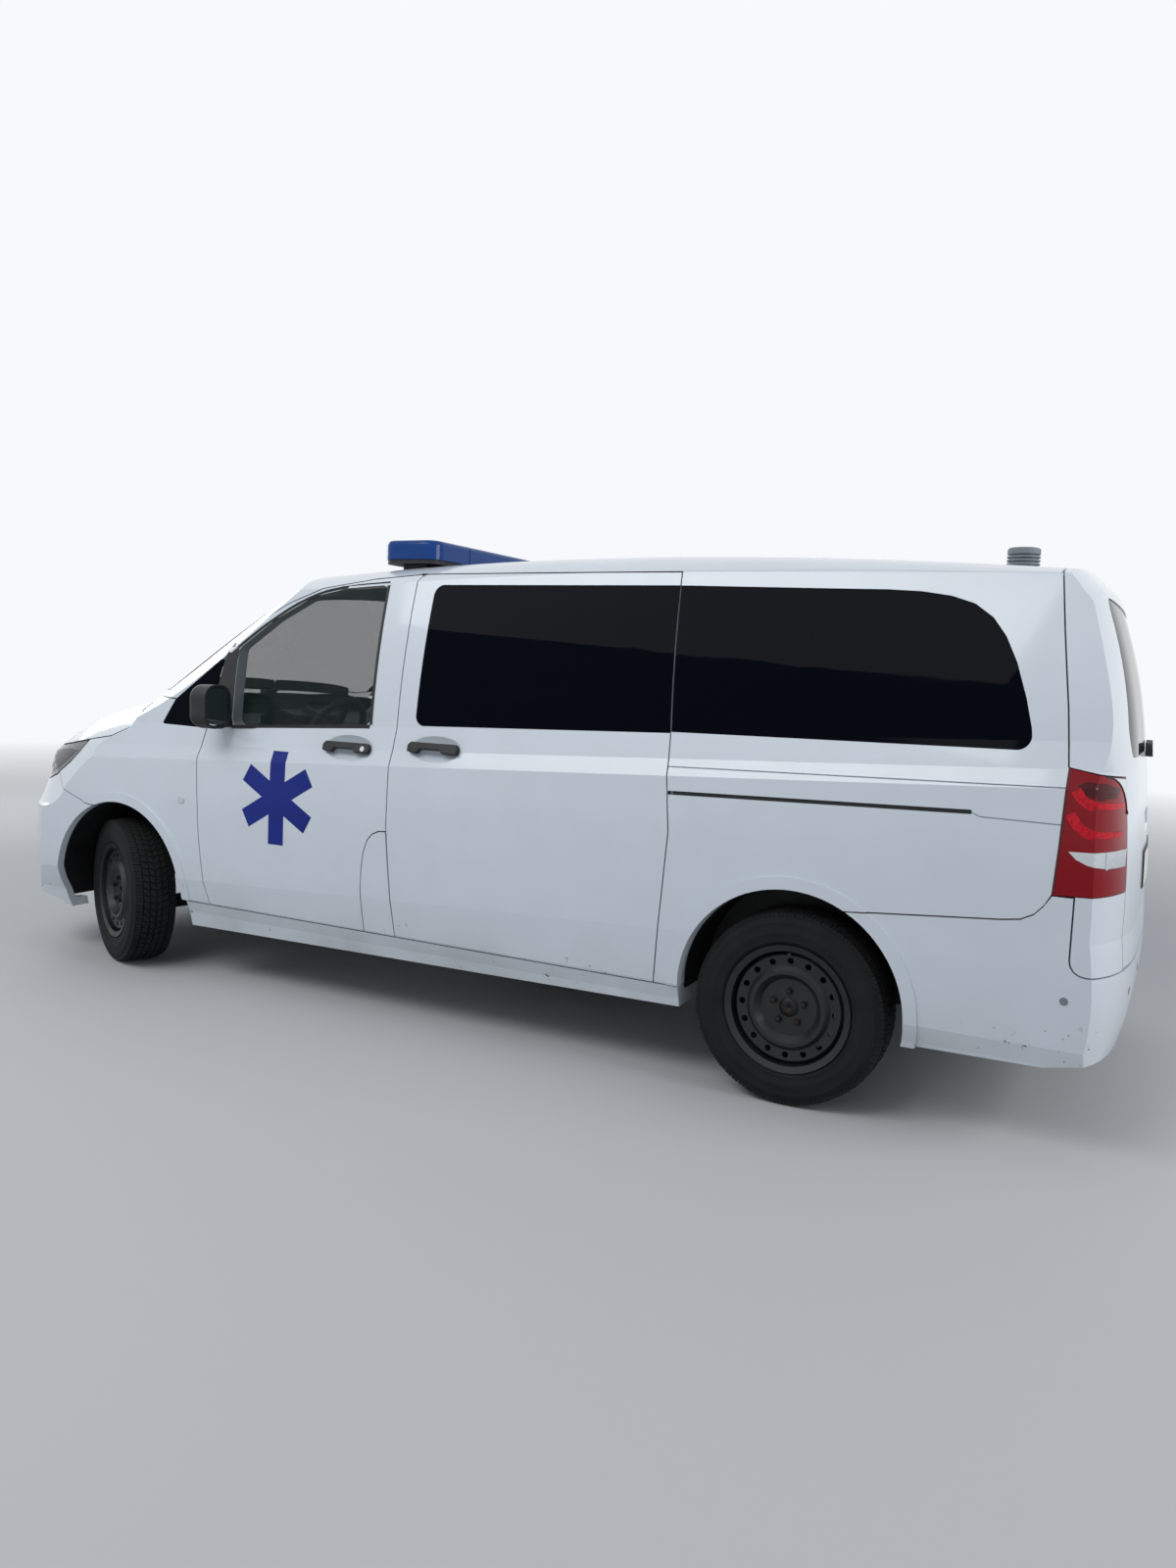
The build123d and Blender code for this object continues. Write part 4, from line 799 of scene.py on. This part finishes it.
# %% [markdown]
# A seat cover is sewn from panels. Two channels run along the cushion and up the back, where the
# stitching pulls the cloth into the foam. They come after the simulation, because a remesh would
# wipe them out: points near a seam line are simply moved inwards by a narrow bell curve.

# %% Sewn channels and seats
CHANNEL_Y = 0.125
CHANNEL_WIDTH = 0.011
CHANNEL_DEPTH = 0.011
SEAT_X = 0.56
SEATS = {"left": 0.40, "right": -0.34}
SEAT_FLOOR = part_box("cab_seats")[0].z
SEAT_BLOCKS = {"waist": ((-0.17, -0.19, 0.02), (0.15, 0.19, 0.17)),
               "pan": ((-0.19, -0.215, 0.17), (0.2, 0.215, 0.262)),
               "plate": ((-0.2, -0.2, 0.0), (0.2, 0.2, 0.02))}
STEM_R, STEM_HALF, STEM_Y = 0.006, 0.075, 0.05
STEM_AT = (-0.368, 0.92)
STEM_TILT = -10


def sewn(mesh, inwards):
    """Pulls the cover in along two lines, on the faces that look against the inward direction."""
    inwards = Vector(inwards)
    for vertex in mesh.vertices:
        if vertex.normal.dot(inwards) > -0.3:
            continue
        near = min(abs(vertex.co.y - CHANNEL_Y), abs(vertex.co.y + CHANNEL_Y))
        vertex.co += inwards * CHANNEL_DEPTH * math.exp(-(near / CHANNEL_WIDTH) ** 2)


def seat_place(dx, dz, y, tilt):
    turn = Matrix.Rotation(math.radians(tilt), 4, "Y")
    return Matrix.Translation((SEAT_X + dx, y, SEAT_FLOOR + dz)) @ turn


def seat_pad(source, name, place):
    mesh = source.data.copy()
    mesh.name = name
    mesh.transform(place)
    pad = settle(new_object(name, mesh), "vehicle_body", "seat_fabric", "seat_fabric", ("cab_seats",))


def seat_base(name, y):
    """Moulded pedestal with a waist, its foot plate and the two stems of the head restraint."""
    parts = [bevelled_block(part, low, high, 0.008) for part, (low, high) in SEAT_BLOCKS.items()]
    for part in parts:
        part.transform(Matrix.Translation((SEAT_X, y, SEAT_FLOOR)))
    for dy in (-STEM_Y, STEM_Y):
        stem = prism(12, STEM_R, -STEM_HALF, STEM_HALF)
        stem.transform(seat_place(*STEM_AT, y + dy, STEM_TILT) @ Matrix.Rotation(math.radians(90), 4, "X"))
        parts.append(stem)
    settle(new_object(name, joined(name, parts)), "vehicle_body", "dark_trim", "dark_trim", ("cab_seats",))


sewn(CUSHION.data, (0, 0, -1))
sewn(BACK.data, (-1, 0, 0))
for side, y in SEATS.items():
    seat_pad(CUSHION, f"seat_cushion_{side}", seat_place(0.005, 0.325, y, 0))
    seat_pad(BACK, f"seat_back_{side}", seat_place(-0.29, 0.62, y, -14))
    seat_pad(HEAD, f"seat_head_{side}", seat_place(-0.385, 1.01, y, -8))
    seat_base(f"seat_base_{side}", y)
for pad in (CUSHION, BACK, HEAD):
    bpy.data.objects.remove(pad)
print("seats:", len(SEATS))

# %% [markdown]
# Thin things that lie on the body, such as a sticker or a rubber strip, must follow its curve.
# Here an outline is drawn flat, cut into small pieces, and each point is dropped onto the CAD
# panel along the viewing direction. A thin wall closes it. Shrinkwrap could do it too, but this
# keeps the outline exactly where it was drawn.

# %% Laying an outline on the body
VIEWS = {
    "left": (lambda u, v: Vector((u, 1.4, v)), Vector((0, -1, 0))),
    "rear": (lambda u, v: Vector((-3.4, u, v)), Vector((1, 0, 0))),
    "front": (lambda u, v: Vector((3.4, u, v)), Vector((-1, 0, 0))),
    "top": (lambda u, v: Vector((u, v, 3.0)), Vector((0, 0, -1))),
}


def surface_of(*names):
    """A search tree over CAD nodes."""
    work = bmesh.new()
    for name in names:
        work.from_mesh(nodes[name].data)
    tree = BVHTree.FromBMesh(work)
    work.free()
    return tree


def landed(tree, view, u, v):
    """Where a point of the drawing meets the surface, and the surface's outward normal there."""
    start, way = VIEWS[view]
    at, normal, _, _ = tree.ray_cast(start(u, v), way)
    if at is None:
        at, normal, _, _ = tree.find_nearest(start(u, v) + way * 0.45)
    return at, (normal if normal.dot(way) < 0 else -normal)


def laid(outline, tree, view, lift, thickness, pitch):
    """A thin sheet with this outline, following the surface."""
    work = bmesh.new()
    work.faces.new([work.verts.new((u, v, 0)) for u, v in outline])
    work.normal_update()
    bmesh.ops.triangulate(work, faces=work.faces)
    for index, way in enumerate((Vector((1, 0, 0)), Vector((0, 1, 0)))):
        low, high = min(p[index] for p in outline), max(p[index] for p in outline)
        for step in range(1, int((high - low) / pitch) + 1):
            everything = work.verts[:] + work.edges[:] + work.faces[:]
            bmesh.ops.bisect_plane(work, geom=everything, plane_co=way * (low + step * pitch), plane_no=way)
    bmesh.ops.triangulate(work, faces=work.faces)
    for vertex in work.verts:
        at, normal = landed(tree, view, vertex.co.x, vertex.co.y)
        vertex.co = at + normal * lift
    bmesh.ops.recalc_face_normals(work, faces=work.faces)
    way = VIEWS[view][1]
    if sum(face.normal.dot(way) for face in work.faces) > 0:
        bmesh.ops.reverse_faces(work, faces=work.faces)
    sheet = new_object("sheet", mesh_from(work, "sheet"))
    wall = sheet.modifiers.new("wall", "SOLIDIFY")
    wall.thickness = thickness
    wall.offset = -1.0
    return shaded(baked_mesh(sheet, "sheet"), False)


def draped(name, outlines, tree, view="left", lift=0.0008, thickness=0.0006, pitch=0.03):
    """One mesh out of several outlines laid on the same surface."""
    return joined(name, [laid(outline, tree, view, lift, thickness, pitch) for outline in outlines])


def lay(name, outlines, tree, body, slot, material, view, **sizes):
    settle(new_object(name, draped(name, outlines, tree, view, **sizes)), body, slot, material)


def lay_pair(label, outlines, tree, slot, material, body="vehicle_body", view="left", **sizes):
    pair(label, draped(label, outlines, tree, view, **sizes), body, slot, material)


def oval(centre, half_width, half_height, sides=28):
    turns = [2 * math.pi * i / sides for i in range(sides)]
    return [(centre[0] + half_width * math.cos(a), centre[1] + half_height * math.sin(a)) for a in turns]


BLACK = ("black_plastic", "black_plastic")
DOOR_SKIN = surface_of("front_door_left", "fuel_flap")
print("views:", len(VIEWS))

# %% [markdown]
# Each front door carries a plain six-armed star, the usual sign of an ambulance, cut from blue
# film. The arms are wide bars with flat ends, so the outline is worked out from three crossed bars
# rather than from points read one by one.

# %% Star on the front doors
STAR_AT = (0.713, 0.862)
STAR_ARM = 0.197
STAR_HALF_WIDTH = 0.041


def star_outline():
    """Six arms, each with two corners at its end, and a notch between neighbours."""
    outline = []
    for arm in range(6):
        along = math.radians(90 + 60 * arm)
        right = (math.sin(along), -math.cos(along))
        for sign in (1, -1):
            outline.append((STAR_AT[0] + STAR_ARM * math.cos(along) + sign * STAR_HALF_WIDTH * right[0],
                            STAR_AT[1] + STAR_ARM * math.sin(along) + sign * STAR_HALF_WIDTH * right[1]))
        notch = along + math.radians(30)
        depth = STAR_HALF_WIDTH * 2
        outline.append((STAR_AT[0] + depth * math.cos(notch), STAR_AT[1] + depth * math.sin(notch)))
    return outline


def film(name, colour, deep_colour):
    """Coloured adhesive film: even, slightly glossy, with a faint orange-peel."""
    finish = Finish(name, colour, 0.3, Specular_IOR_Level=0.3)
    finish.dust(5.0, 4.0, 0.35, 0.75, colour, deep_colour)
    finish.wear(8.0, 3.0, 0.3, 0.7, 0.26, 0.42)
    finish.grain(260.0, 2.0, 0.04, 0.0005)
    return finish.material


MATERIALS["blue_film"] = film("blue_film", "#001A78", "#03268A")
lay_pair("door_star", [star_outline()], DOOR_SKIN, "blue_lens", "blue_film", "door_{}", lift=0.001,
         pitch=0.009)
print("door stars:", 2)

# %% [markdown]
# Seams between panels read as dark lines because rubber and shadow fill them. A thin black strip
# runs along each seam, a little below the skin and just narrower than the gap, so that it never
# touches the panel that opens. The strip is partly the rubber and partly painted shade in the gap.
# It is swept along the seam's line in the side view, and its depth comes from the panels on both sides.

# %% Seam strips
BODY_SEAMS = [
    [(1.167, 1.127), (1.182, 1.010), (1.173, 0.860), (1.158, 0.655), (1.131, 0.450), (1.109, 0.358)],
    [(0.163, 1.812), (0.140, 1.195), (0.140, 0.800), (0.099, 0.358)],
    [(-0.994, 1.812), (-1.045, 1.240), (-1.077, 0.900), (-1.064, 0.690), (-1.038, 0.358)],
    [(-2.272, 1.800), (-2.294, 1.637), (-2.328, 1.392), (-2.345, 1.226)],
    [(-0.990, 1.818), (0.165, 1.816), (0.399, 1.796), (0.644, 1.752), (0.806, 1.689), (0.966, 1.602),
     (1.094, 1.520)],
    [(1.655, 1.105), (1.760, 1.060), (1.930, 1.034), (2.120, 1.003), (2.330, 0.975)],
    [(-1.740, 0.706), (-2.190, 0.744), (-2.246, 0.752), (-2.284, 0.772), (-2.310, 0.802)],
]
FLAP_SEAM = [(0.1425, 0.773), (0.176, 0.770), (0.206, 0.757), (0.229, 0.733), (0.245, 0.690), (0.256, 0.620),
             (0.260, 0.540), (0.253, 0.360)]
PANELS = surface_of("front_door_left", "fuel_flap", "sliding_doors", "rear_sides", "front_fenders",
                    "roof_and_pillars", "tailgate", "bonnet", "rear_bumper", "front_bumper", "tail_lamps",
                    "headlamps", "sills")


def spaced(points, pitch):
    """Points along a line of straight runs, no further apart than the pitch."""
    line = [Vector(points[0])]
    for a, b in zip(points, points[1:]):
        a, b = Vector(a), Vector(b)
        count = max(1, math.ceil((b - a).length / pitch))
        line += [a.lerp(b, i / count) for i in range(1, count + 1)]
    return line


def strip(points, width, top, depth, tree=None, view="left", side_step=0.009, pitch=0.03):
    """A strip of oblong section along a drawn line, from `top` to `depth` below the surface."""
    tree = tree or PANELS
    line = spaced(points, pitch)
    way = VIEWS[view][1]
    vertices = []
    for i, point in enumerate(line):
        run = (line[min(i + 1, len(line) - 1)] - line[max(i - 1, 0)]).normalized()
        across = Vector((-run.y, run.x))
        flats = [landed(tree, view, *(point + across * s)) for s in (-side_step, side_step)]
        start = VIEWS[view][0](*point)
        level = sum((at - start).dot(way) for at, _ in flats) / 2
        edge = VIEWS[view][0](*(point + across)) - start
        for s, d in ((-1, top), (1, top), (1, depth), (-1, depth)):
            vertices.append(start + way * (level + d) + edge * (s * width / 2))
    faces = [(3, 2, 1, 0), tuple(4 * (len(line) - 1) + k for k in range(4))]
    for i in range(len(line) - 1):
        faces += [(4 * i + k, 4 * i + (k + 1) % 4, 4 * i + 4 + (k + 1) % 4, 4 * i + 4 + k) for k in range(4)]
    return outward(mesh_of("strip", vertices, faces))


def strips(name, lines, body="vehicle_body", slot="black_plastic", mirrored_too=True, **sizes):
    meshes = [strip(line, **sizes) for line in lines]
    if mirrored_too:
        meshes += [flipped(mesh, "strip") for mesh in list(meshes)]
    settle(new_object(name, joined(name, meshes)), body, slot, "black_plastic")


# Black strips in the seams: partly the rubber seal, partly painted shade in the gaps.
strips("seam_rubber", BODY_SEAMS, width=0.0044, top=0.007, depth=0.02)
strips("flap_seam_rubber", [FLAP_SEAM], "door_left", mirrored_too=False, width=0.0044, top=0.005, depth=0.015)
print("seam strips:", len(BODY_SEAMS) * 2 + 1)

# %% [markdown]
# Round the front side window the real van has black trim: a broad bar between the fixed quarter
# glass and the moving glass, and a narrow rubber lip along the bottom and over the curve. They
# belong to the door. The dark corner of the quarter window is edged in the same way on the body.

# %% Window trim
DOOR_FACE = surface_of("front_door_left", "front_door_glass_left")
CORNER_TRIM = [(1.020, 1.142), (1.1625, 1.133), (1.1125, 1.446), (1.090, 1.511), (1.044, 1.488)]
WAIST_LIP = [(0.276, 1.188), (1.020, 1.145)]
CURVE_LIP = [(1.048, 1.492), (0.876, 1.622), (0.685, 1.726), (0.508, 1.762), (0.302, 1.777)]
REAR_LIP = [(0.3005, 1.766), (0.2705, 1.196)]


def smooth_line(points, rounds=2):
    """Cuts the corners of a line of straight runs, keeping its ends."""
    for _ in range(rounds):
        finer = [points[0]]
        for (ax, ay), (bx, by) in zip(points, points[1:]):
            finer += [(ax * s + bx * (1 - s), ay * s + by * (1 - s)) for s in (0.75, 0.25)]
        points = finer + [points[-1]]
    return points


lay_pair("door_corner_trim", [CORNER_TRIM], DOOR_SKIN, *BLACK, "door_{}", lift=0.0012, thickness=0.0022)
lips = [strip(smooth_line(line), width, -0.003, 0.003, DOOR_FACE, side_step=0.007)
        for line, width in ((WAIST_LIP, 0.016), (CURVE_LIP, 0.011), (REAR_LIP, 0.013))]
pair("window_lip", joined("window_lip", lips), "door_{}", *BLACK)
print("window trim:", 4)

# %% [markdown]
# The tail lamps are the strongest colour on the van. A real one is a clear red cover over a moulded
# reflector with bowls, and a clear reversing lens low down. Here the cover stays the CAD solid, and
# a dark gasket, a chrome-lined reversing lens, a bowl and curved light guides are laid on its face.
# The body's paint rounds the upper inner corner, so a painted sheet covers the solid's square one.

# %% Tail lamp details
LAMP = surface_of("tail_lamps")
REVERSING_LENS = [(-2.365, 0.972), (-2.520, 0.978), (-2.520, 0.925), (-2.470, 0.926), (-2.420, 0.936),
                  (-2.388, 0.950)]
GUIDES = [[(-2.372, 1.155), (-2.395, 1.122), (-2.440, 1.105), (-2.500, 1.103)],
          [(-2.362, 1.085), (-2.385, 1.045), (-2.430, 1.022), (-2.500, 1.018)]]
BOWL = [(-2.375, 1.170), (-2.400, 1.182), (-2.450, 1.178), (-2.485, 1.160), (-2.480, 1.135), (-2.440, 1.128),
        (-2.398, 1.140)]


GASKET = [(-2.349, 1.216), (-2.340, 0.980), (-2.332, 0.842)]
LAMP_CORNER_AT = (0.7725, 1.1870)
LAMP_CORNER_SIZE = (0.135, 0.105)
LAMP_TOP_RISE = 0.0100
LAMP_CORNER_STEPS = 8


def plated_plastic(name, colour, roughness=0.18):
    """Vacuum-plated plastic: a mirror with fine ribs and a little haze."""
    plated = Finish(name, colour, roughness, 0.9)
    plated.wear(40.0, 3.0, 0.3, 0.7, roughness, roughness + 0.12)
    plated.bump(plated.noise(300.0, 2.0, (1, 1, 0.1)), 0.15, 0.0006)
    return plated.material


def ribs(finish):
    return finish.waves("Z", 55.0)


def facets(finish):
    return finish.node("ShaderNodeTexVoronoi", {"Scale": 120.0, "Vector": finish.place}).outputs["Distance"]


def lamp_red(name, colour, roughness, pattern, first, second, strength):
    """Red moulding inside the lamp, with ribs or facets in its surface whose light and shade are also painted into
    its colour.
    """
    red = Finish(name, colour, roughness, Specular_IOR_Level=0.12, Coat_Weight=0.2, Coat_Roughness=0.04)
    height_and_painted_shade = pattern(red)
    # The colour follows the pattern, lighter on one part of each rib and facet and darker on another: painted
    # light and shade.
    red.set(Base_Color=red.blend(height_and_painted_shade, first, second))
    red.bump(height_and_painted_shade, strength, 0.0008)
    return red.material


def corner_curve():
    """The rounded edge, a quarter of an oval that reaches up to the lamp's top."""
    rise = LAMP_CORNER_SIZE[1] + LAMP_TOP_RISE
    turns = [math.pi / 2 * i / LAMP_CORNER_STEPS for i in range(LAMP_CORNER_STEPS + 1)]
    return [(LAMP_CORNER_AT[0] + LAMP_CORNER_SIZE[0] * (1 - math.sin(a)),
             LAMP_CORNER_AT[1] + LAMP_TOP_RISE - rise * (1 - math.cos(a))) for a in turns]


MATERIALS["plated"] = plated_plastic("plated", "#C9CED2")
# The last two colours of each red are its painted light and shade across the pattern.
MATERIALS["deep_red"] = lamp_red("deep_red", "#4A0310", 0.12, ribs, "#30020A", "#620616", 0.25)
MATERIALS["bright_red"] = lamp_red("bright_red", "#E0162B", 0.15, facets, "#F01430", "#A8061A", 0.3)
for label, outline, material, slot, lift in (
        ("reversing_lens", REVERSING_LENS, "plated", "clear_lens", 0.0018),
        ("lamp_bowl", BOWL, "deep_red", "red_lens", 0.0008)):
    lay_pair(label, [outline], LAMP, slot, material, lift=lift, thickness=0.0012, pitch=0.006)
guides = [strip(smooth_line(line, 3), 0.030, -0.0012, 0.001, LAMP, side_step=0.010, pitch=0.012)
          for line in GUIDES]
pair("light_guides", joined("light_guides", guides), "vehicle_body", "red_lens", "bright_red")
strips("lamp_gasket", [GASKET], tree=LAMP, side_step=0.003, width=0.004, top=-0.0006, depth=0.003)
lay_pair("lamp_corner", [[LAMP_CORNER_AT, *corner_curve()]], LAMP, "white_paint", "white_paint", view="rear",
         lift=0.0010, thickness=0.0012, pitch=0.012)
strips("lamp_corner_gasket", [corner_curve()], tree=LAMP, view="rear", side_step=0.002, width=0.004,
       top=-0.0022, depth=0.002, pitch=0.008)
print("tail lamps:", 2)

# %% [markdown]
# Each headlamp is a smoky cover over a dark housing. Through the cover one sees a smoked bezel and
# two round reflector bowls. The cover is the CAD solid, which is glass-like plastic right through,
# so the insides are laid on its face instead, one sheet over another.

# %% Headlamps
HEADLAMP = surface_of("headlamps")
nodes["headlamps"].data.materials[0] = MATERIALS["headlamp_cover"]
BEZEL = [(0.500, 0.925), (0.640, 0.930), (0.760, 0.948), (0.850, 0.975), (0.868, 0.930), (0.820, 0.872),
         (0.700, 0.836), (0.560, 0.824), (0.470, 0.826), (0.462, 0.905)]
BEZEL_SIDE = [(2.010, 0.976), (2.120, 0.976), (2.250, 0.958), (2.250, 0.850), (2.160, 0.876), (2.070, 0.932)]
BOWLS = [((0.575, 0.874), 0.046), ((0.708, 0.890), 0.042)]
LENSES = [(centre, radius * 0.72) for centre, radius in BOWLS]


def smoked(name, colour, roughness):
    """Glossy smoked plastic with faint fluting."""
    finish = Finish(name, colour, roughness, Specular_IOR_Level=0.2, Coat_Weight=0.25, Coat_Roughness=0.03)
    flutes = finish.waves("Y", 40.0)
    finish.set(Roughness=finish.range(flutes, 0.0, 1.0, roughness, roughness + 0.15))
    finish.bump(flutes, 0.15, 0.0008)
    return finish.material


MATERIALS["smoked"] = smoked("smoked", "#0C1016", 0.22)
for label, outlines, view, material, lift in (
        ("headlamp_bezel", [BEZEL], "front", "smoked", 0.0008),
        ("headlamp_bowls", [oval(c, r, r) for c, r in BOWLS], "front", "plated", 0.0020),
        ("headlamp_lenses", [oval(c, r, r) for c, r in LENSES], "front", "smoked", 0.0032),
        ("headlamp_side", [BEZEL_SIDE], "left", "smoked", 0.0008)):
    lay_pair(label, outlines, HEADLAMP, "clear_lens", material, view=view, lift=lift, thickness=0.0012,
             pitch=0.025)
print("headlamps:", 2)

# %% [markdown]
# The light bar's cover is blue all over. Its inside is repeated along its length: a row of upright
# plated reflectors, with rubber joints across the cover where its parts meet. A Geometry Nodes
# line sets out the reflectors, because they only differ in place.

# %% Light bar
BAR_LOW, BAR_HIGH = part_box("light_bar_lens")
BAR = surface_of("light_bar_lens")


REFLECTORS = 15
REFLECTOR_PITCH = 0.066
REFLECTOR_HALF = (0.085, 0.024)
JOINT_HALF = 0.10
JOINTS_Y = (0.0, 0.30, -0.30)


def along_a_line(wiring, given):
    inputs = {"Count": given["Count"], "Start Location": given["Start"], "Offset": given["Pitch"]}
    return {"Points": wiring.node("GeometryNodeMeshLine", inputs).outputs["Mesh"]}


ROW = repeat_tree("row_of_units", (("Start", "Vector"), ("Pitch", "Vector")), along_a_line)
mid_x = (BAR_LOW.x + BAR_HIGH.x) / 2
half_x, half_y = REFLECTOR_HALF
unit = bevelled_block("reflector", (mid_x - half_x, -half_y, BAR_LOW.z + 0.014),
                      (mid_x + half_x, half_y, BAR_HIGH.z - 0.022), 0.01)
start = (0.0, -REFLECTOR_PITCH * (REFLECTORS - 1) / 2, 0.0)
row = repeated("bar_reflectors", ROW, unit, "plated", Count=REFLECTORS, Start=start,
               Pitch=(0.0, REFLECTOR_PITCH, 0.0))
settle(row, "vehicle_body", "light_alloy")
joint = [strip([(mid_x + JOINT_HALF, y), (mid_x - JOINT_HALF, y)], 0.006, -0.001, 0.004, BAR, "top", 0.008)
         for y in JOINTS_Y]
settle(new_object("bar_joint", joined("bar_joint", joint)), "vehicle_body", *BLACK)
print("light bar reflectors:", REFLECTORS)

# %% [markdown]
# Small parts finish the outside: mirror glass, lock cylinders, the round repeater on each front
# wing, parking sensors, blank number plates and the dark band round the windscreen. Flat ones are
# laid on the panel that carries them; the mirror glass is a plate let into the housing.

# %% Small outside parts
MIRROR_GLASS = ((1.012, 1.232), (0.061, 0.079), 0.040)
MIRROR_X = (0.9985, 1.0052)
CORNER_STEPS = 6
LOCK_AT, LOCK_R = (0.276, 1.099), 0.0105
REPEATER_AT, REPEATER_HALF = (1.265, 0.807), (0.019, 0.0145)
CORNER_SENSOR_AT, SENSOR_R = (-2.386, 0.518), 0.0125
SENSORS_Y = (-0.62, -0.24, 0.24, 0.62)
SENSOR_SHEET = {"lift": 0.0012, "thickness": 0.003, "pitch": 0.02}


def rounded_plate(centre, half, radius, x0, x1):
    """A plate across the van with rounded corners, between two x planes."""
    outline = []
    for corner, (sy, sz) in enumerate(((1, 1), (-1, 1), (-1, -1), (1, -1))):
        for i in range(CORNER_STEPS + 1):
            a = math.pi / 2 * (corner + i / CORNER_STEPS)
            outline.append((centre[0] + sy * (half[0] - radius) + radius * math.cos(a),
                            centre[1] + sz * (half[1] - radius) + radius * math.sin(a)))
    return lofted("plate", *([(x, y, z) for y, z in outline] for x in (x0, x1)))


def mirror_glass():
    """Silvered glass: a clean mirror with a trace of dust."""
    silver = Finish("mirror", "#C6D0D4", 0.03, 1.0)
    silver.wear(12.0, 4.0, 0.5, 0.8, 0.02, 0.10)
    return silver.material


def plate_white():
    plate = Finish("plate_white", "#E6E7E2", 0.35)
    plate.dust(18.0, 5.0, 0.5, 0.8, "#E6E7E2", "#9B9890", 0.25)
    plate.grain(300.0, 2.0, 0.05, 0.0005)
    return plate.material


def plate_outline(half_width, z, half_height, cut=0.008):
    """An oblong about a height, with its corners cut off."""
    y, low, high = half_width, z - half_height, z + half_height
    return [(-y, low + cut), (-y + cut, low), (y - cut, low), (y, low + cut),
            (y, high - cut), (y - cut, high), (-y + cut, high), (-y, high - cut)]


MATERIALS["mirror"] = mirror_glass()
pair("mirror_glass", rounded_plate(*MIRROR_GLASS, *MIRROR_X), "door_{}", "light_alloy", "mirror")
lay_pair("lock", [oval(LOCK_AT, LOCK_R, LOCK_R, 20)], surface_of("front_door_handle_left"), "light_alloy",
         "plated", "door_{}", lift=0.0016, thickness=0.003, pitch=0.02)
lay_pair("repeater", [oval(REPEATER_AT, *REPEATER_HALF, 24)], PANELS, "clear_lens", "plated", lift=0.004,
         thickness=0.004, pitch=0.01)
lay_pair("corner_sensor", [oval(CORNER_SENSOR_AT, SENSOR_R, SENSOR_R, 20)], PANELS, "black_plastic",
         "grey_plastic", **SENSOR_SHEET)
lay("rear_sensors", [oval((y, 0.505), SENSOR_R, SENSOR_R, 20) for y in SENSORS_Y], PANELS, "vehicle_body",
    "black_plastic", "grey_plastic", "rear", **SENSOR_SHEET)
MATERIALS["plate_white"] = plate_white()
for end, node, body, z in (("rear", "tailgate", "rear_door", 0.850),
                           ("front", "front_bumper", "vehicle_body", 0.600)):
    carrier = surface_of(node)
    lay(f"{end}_plate_holder", [plate_outline(0.272, z, 0.066)], carrier, body, *BLACK, end, lift=0.004,
        thickness=0.004)
    lay(f"{end}_number_plate", [plate_outline(0.26, z, 0.055)], carrier, body, "light_trim", "plate_white",
        end, lift=0.0065, thickness=0.002)

SCREEN = surface_of("windscreen")
BAND_SIDE = [(0.912, 0.612), (1.20, 0.668), (1.560, 0.728)]
SCREEN_BAND = [[(0.912, -0.61), (0.912, 0.61)],
               [(1.560, -0.735), (1.612, -0.66), (1.650, -0.35), (1.660, 0.0), (1.650, 0.35), (1.612, 0.66),
                (1.560, 0.735)], BAND_SIDE, [(x, -y) for x, y in BAND_SIDE]]
strips("windscreen_band", SCREEN_BAND, slot="dark_glass", mirrored_too=False, width=0.05, top=-0.0008,
       depth=0.0012, tree=SCREEN, view="top", side_step=0.010)
RAIL_SLOT = [(-1.082, 1.038), (-2.076, 1.0640)]
strips("rail_shadow", [RAIL_SLOT], width=0.0128, top=0.010, depth=0.018, side_step=0.012)
print("small parts done")
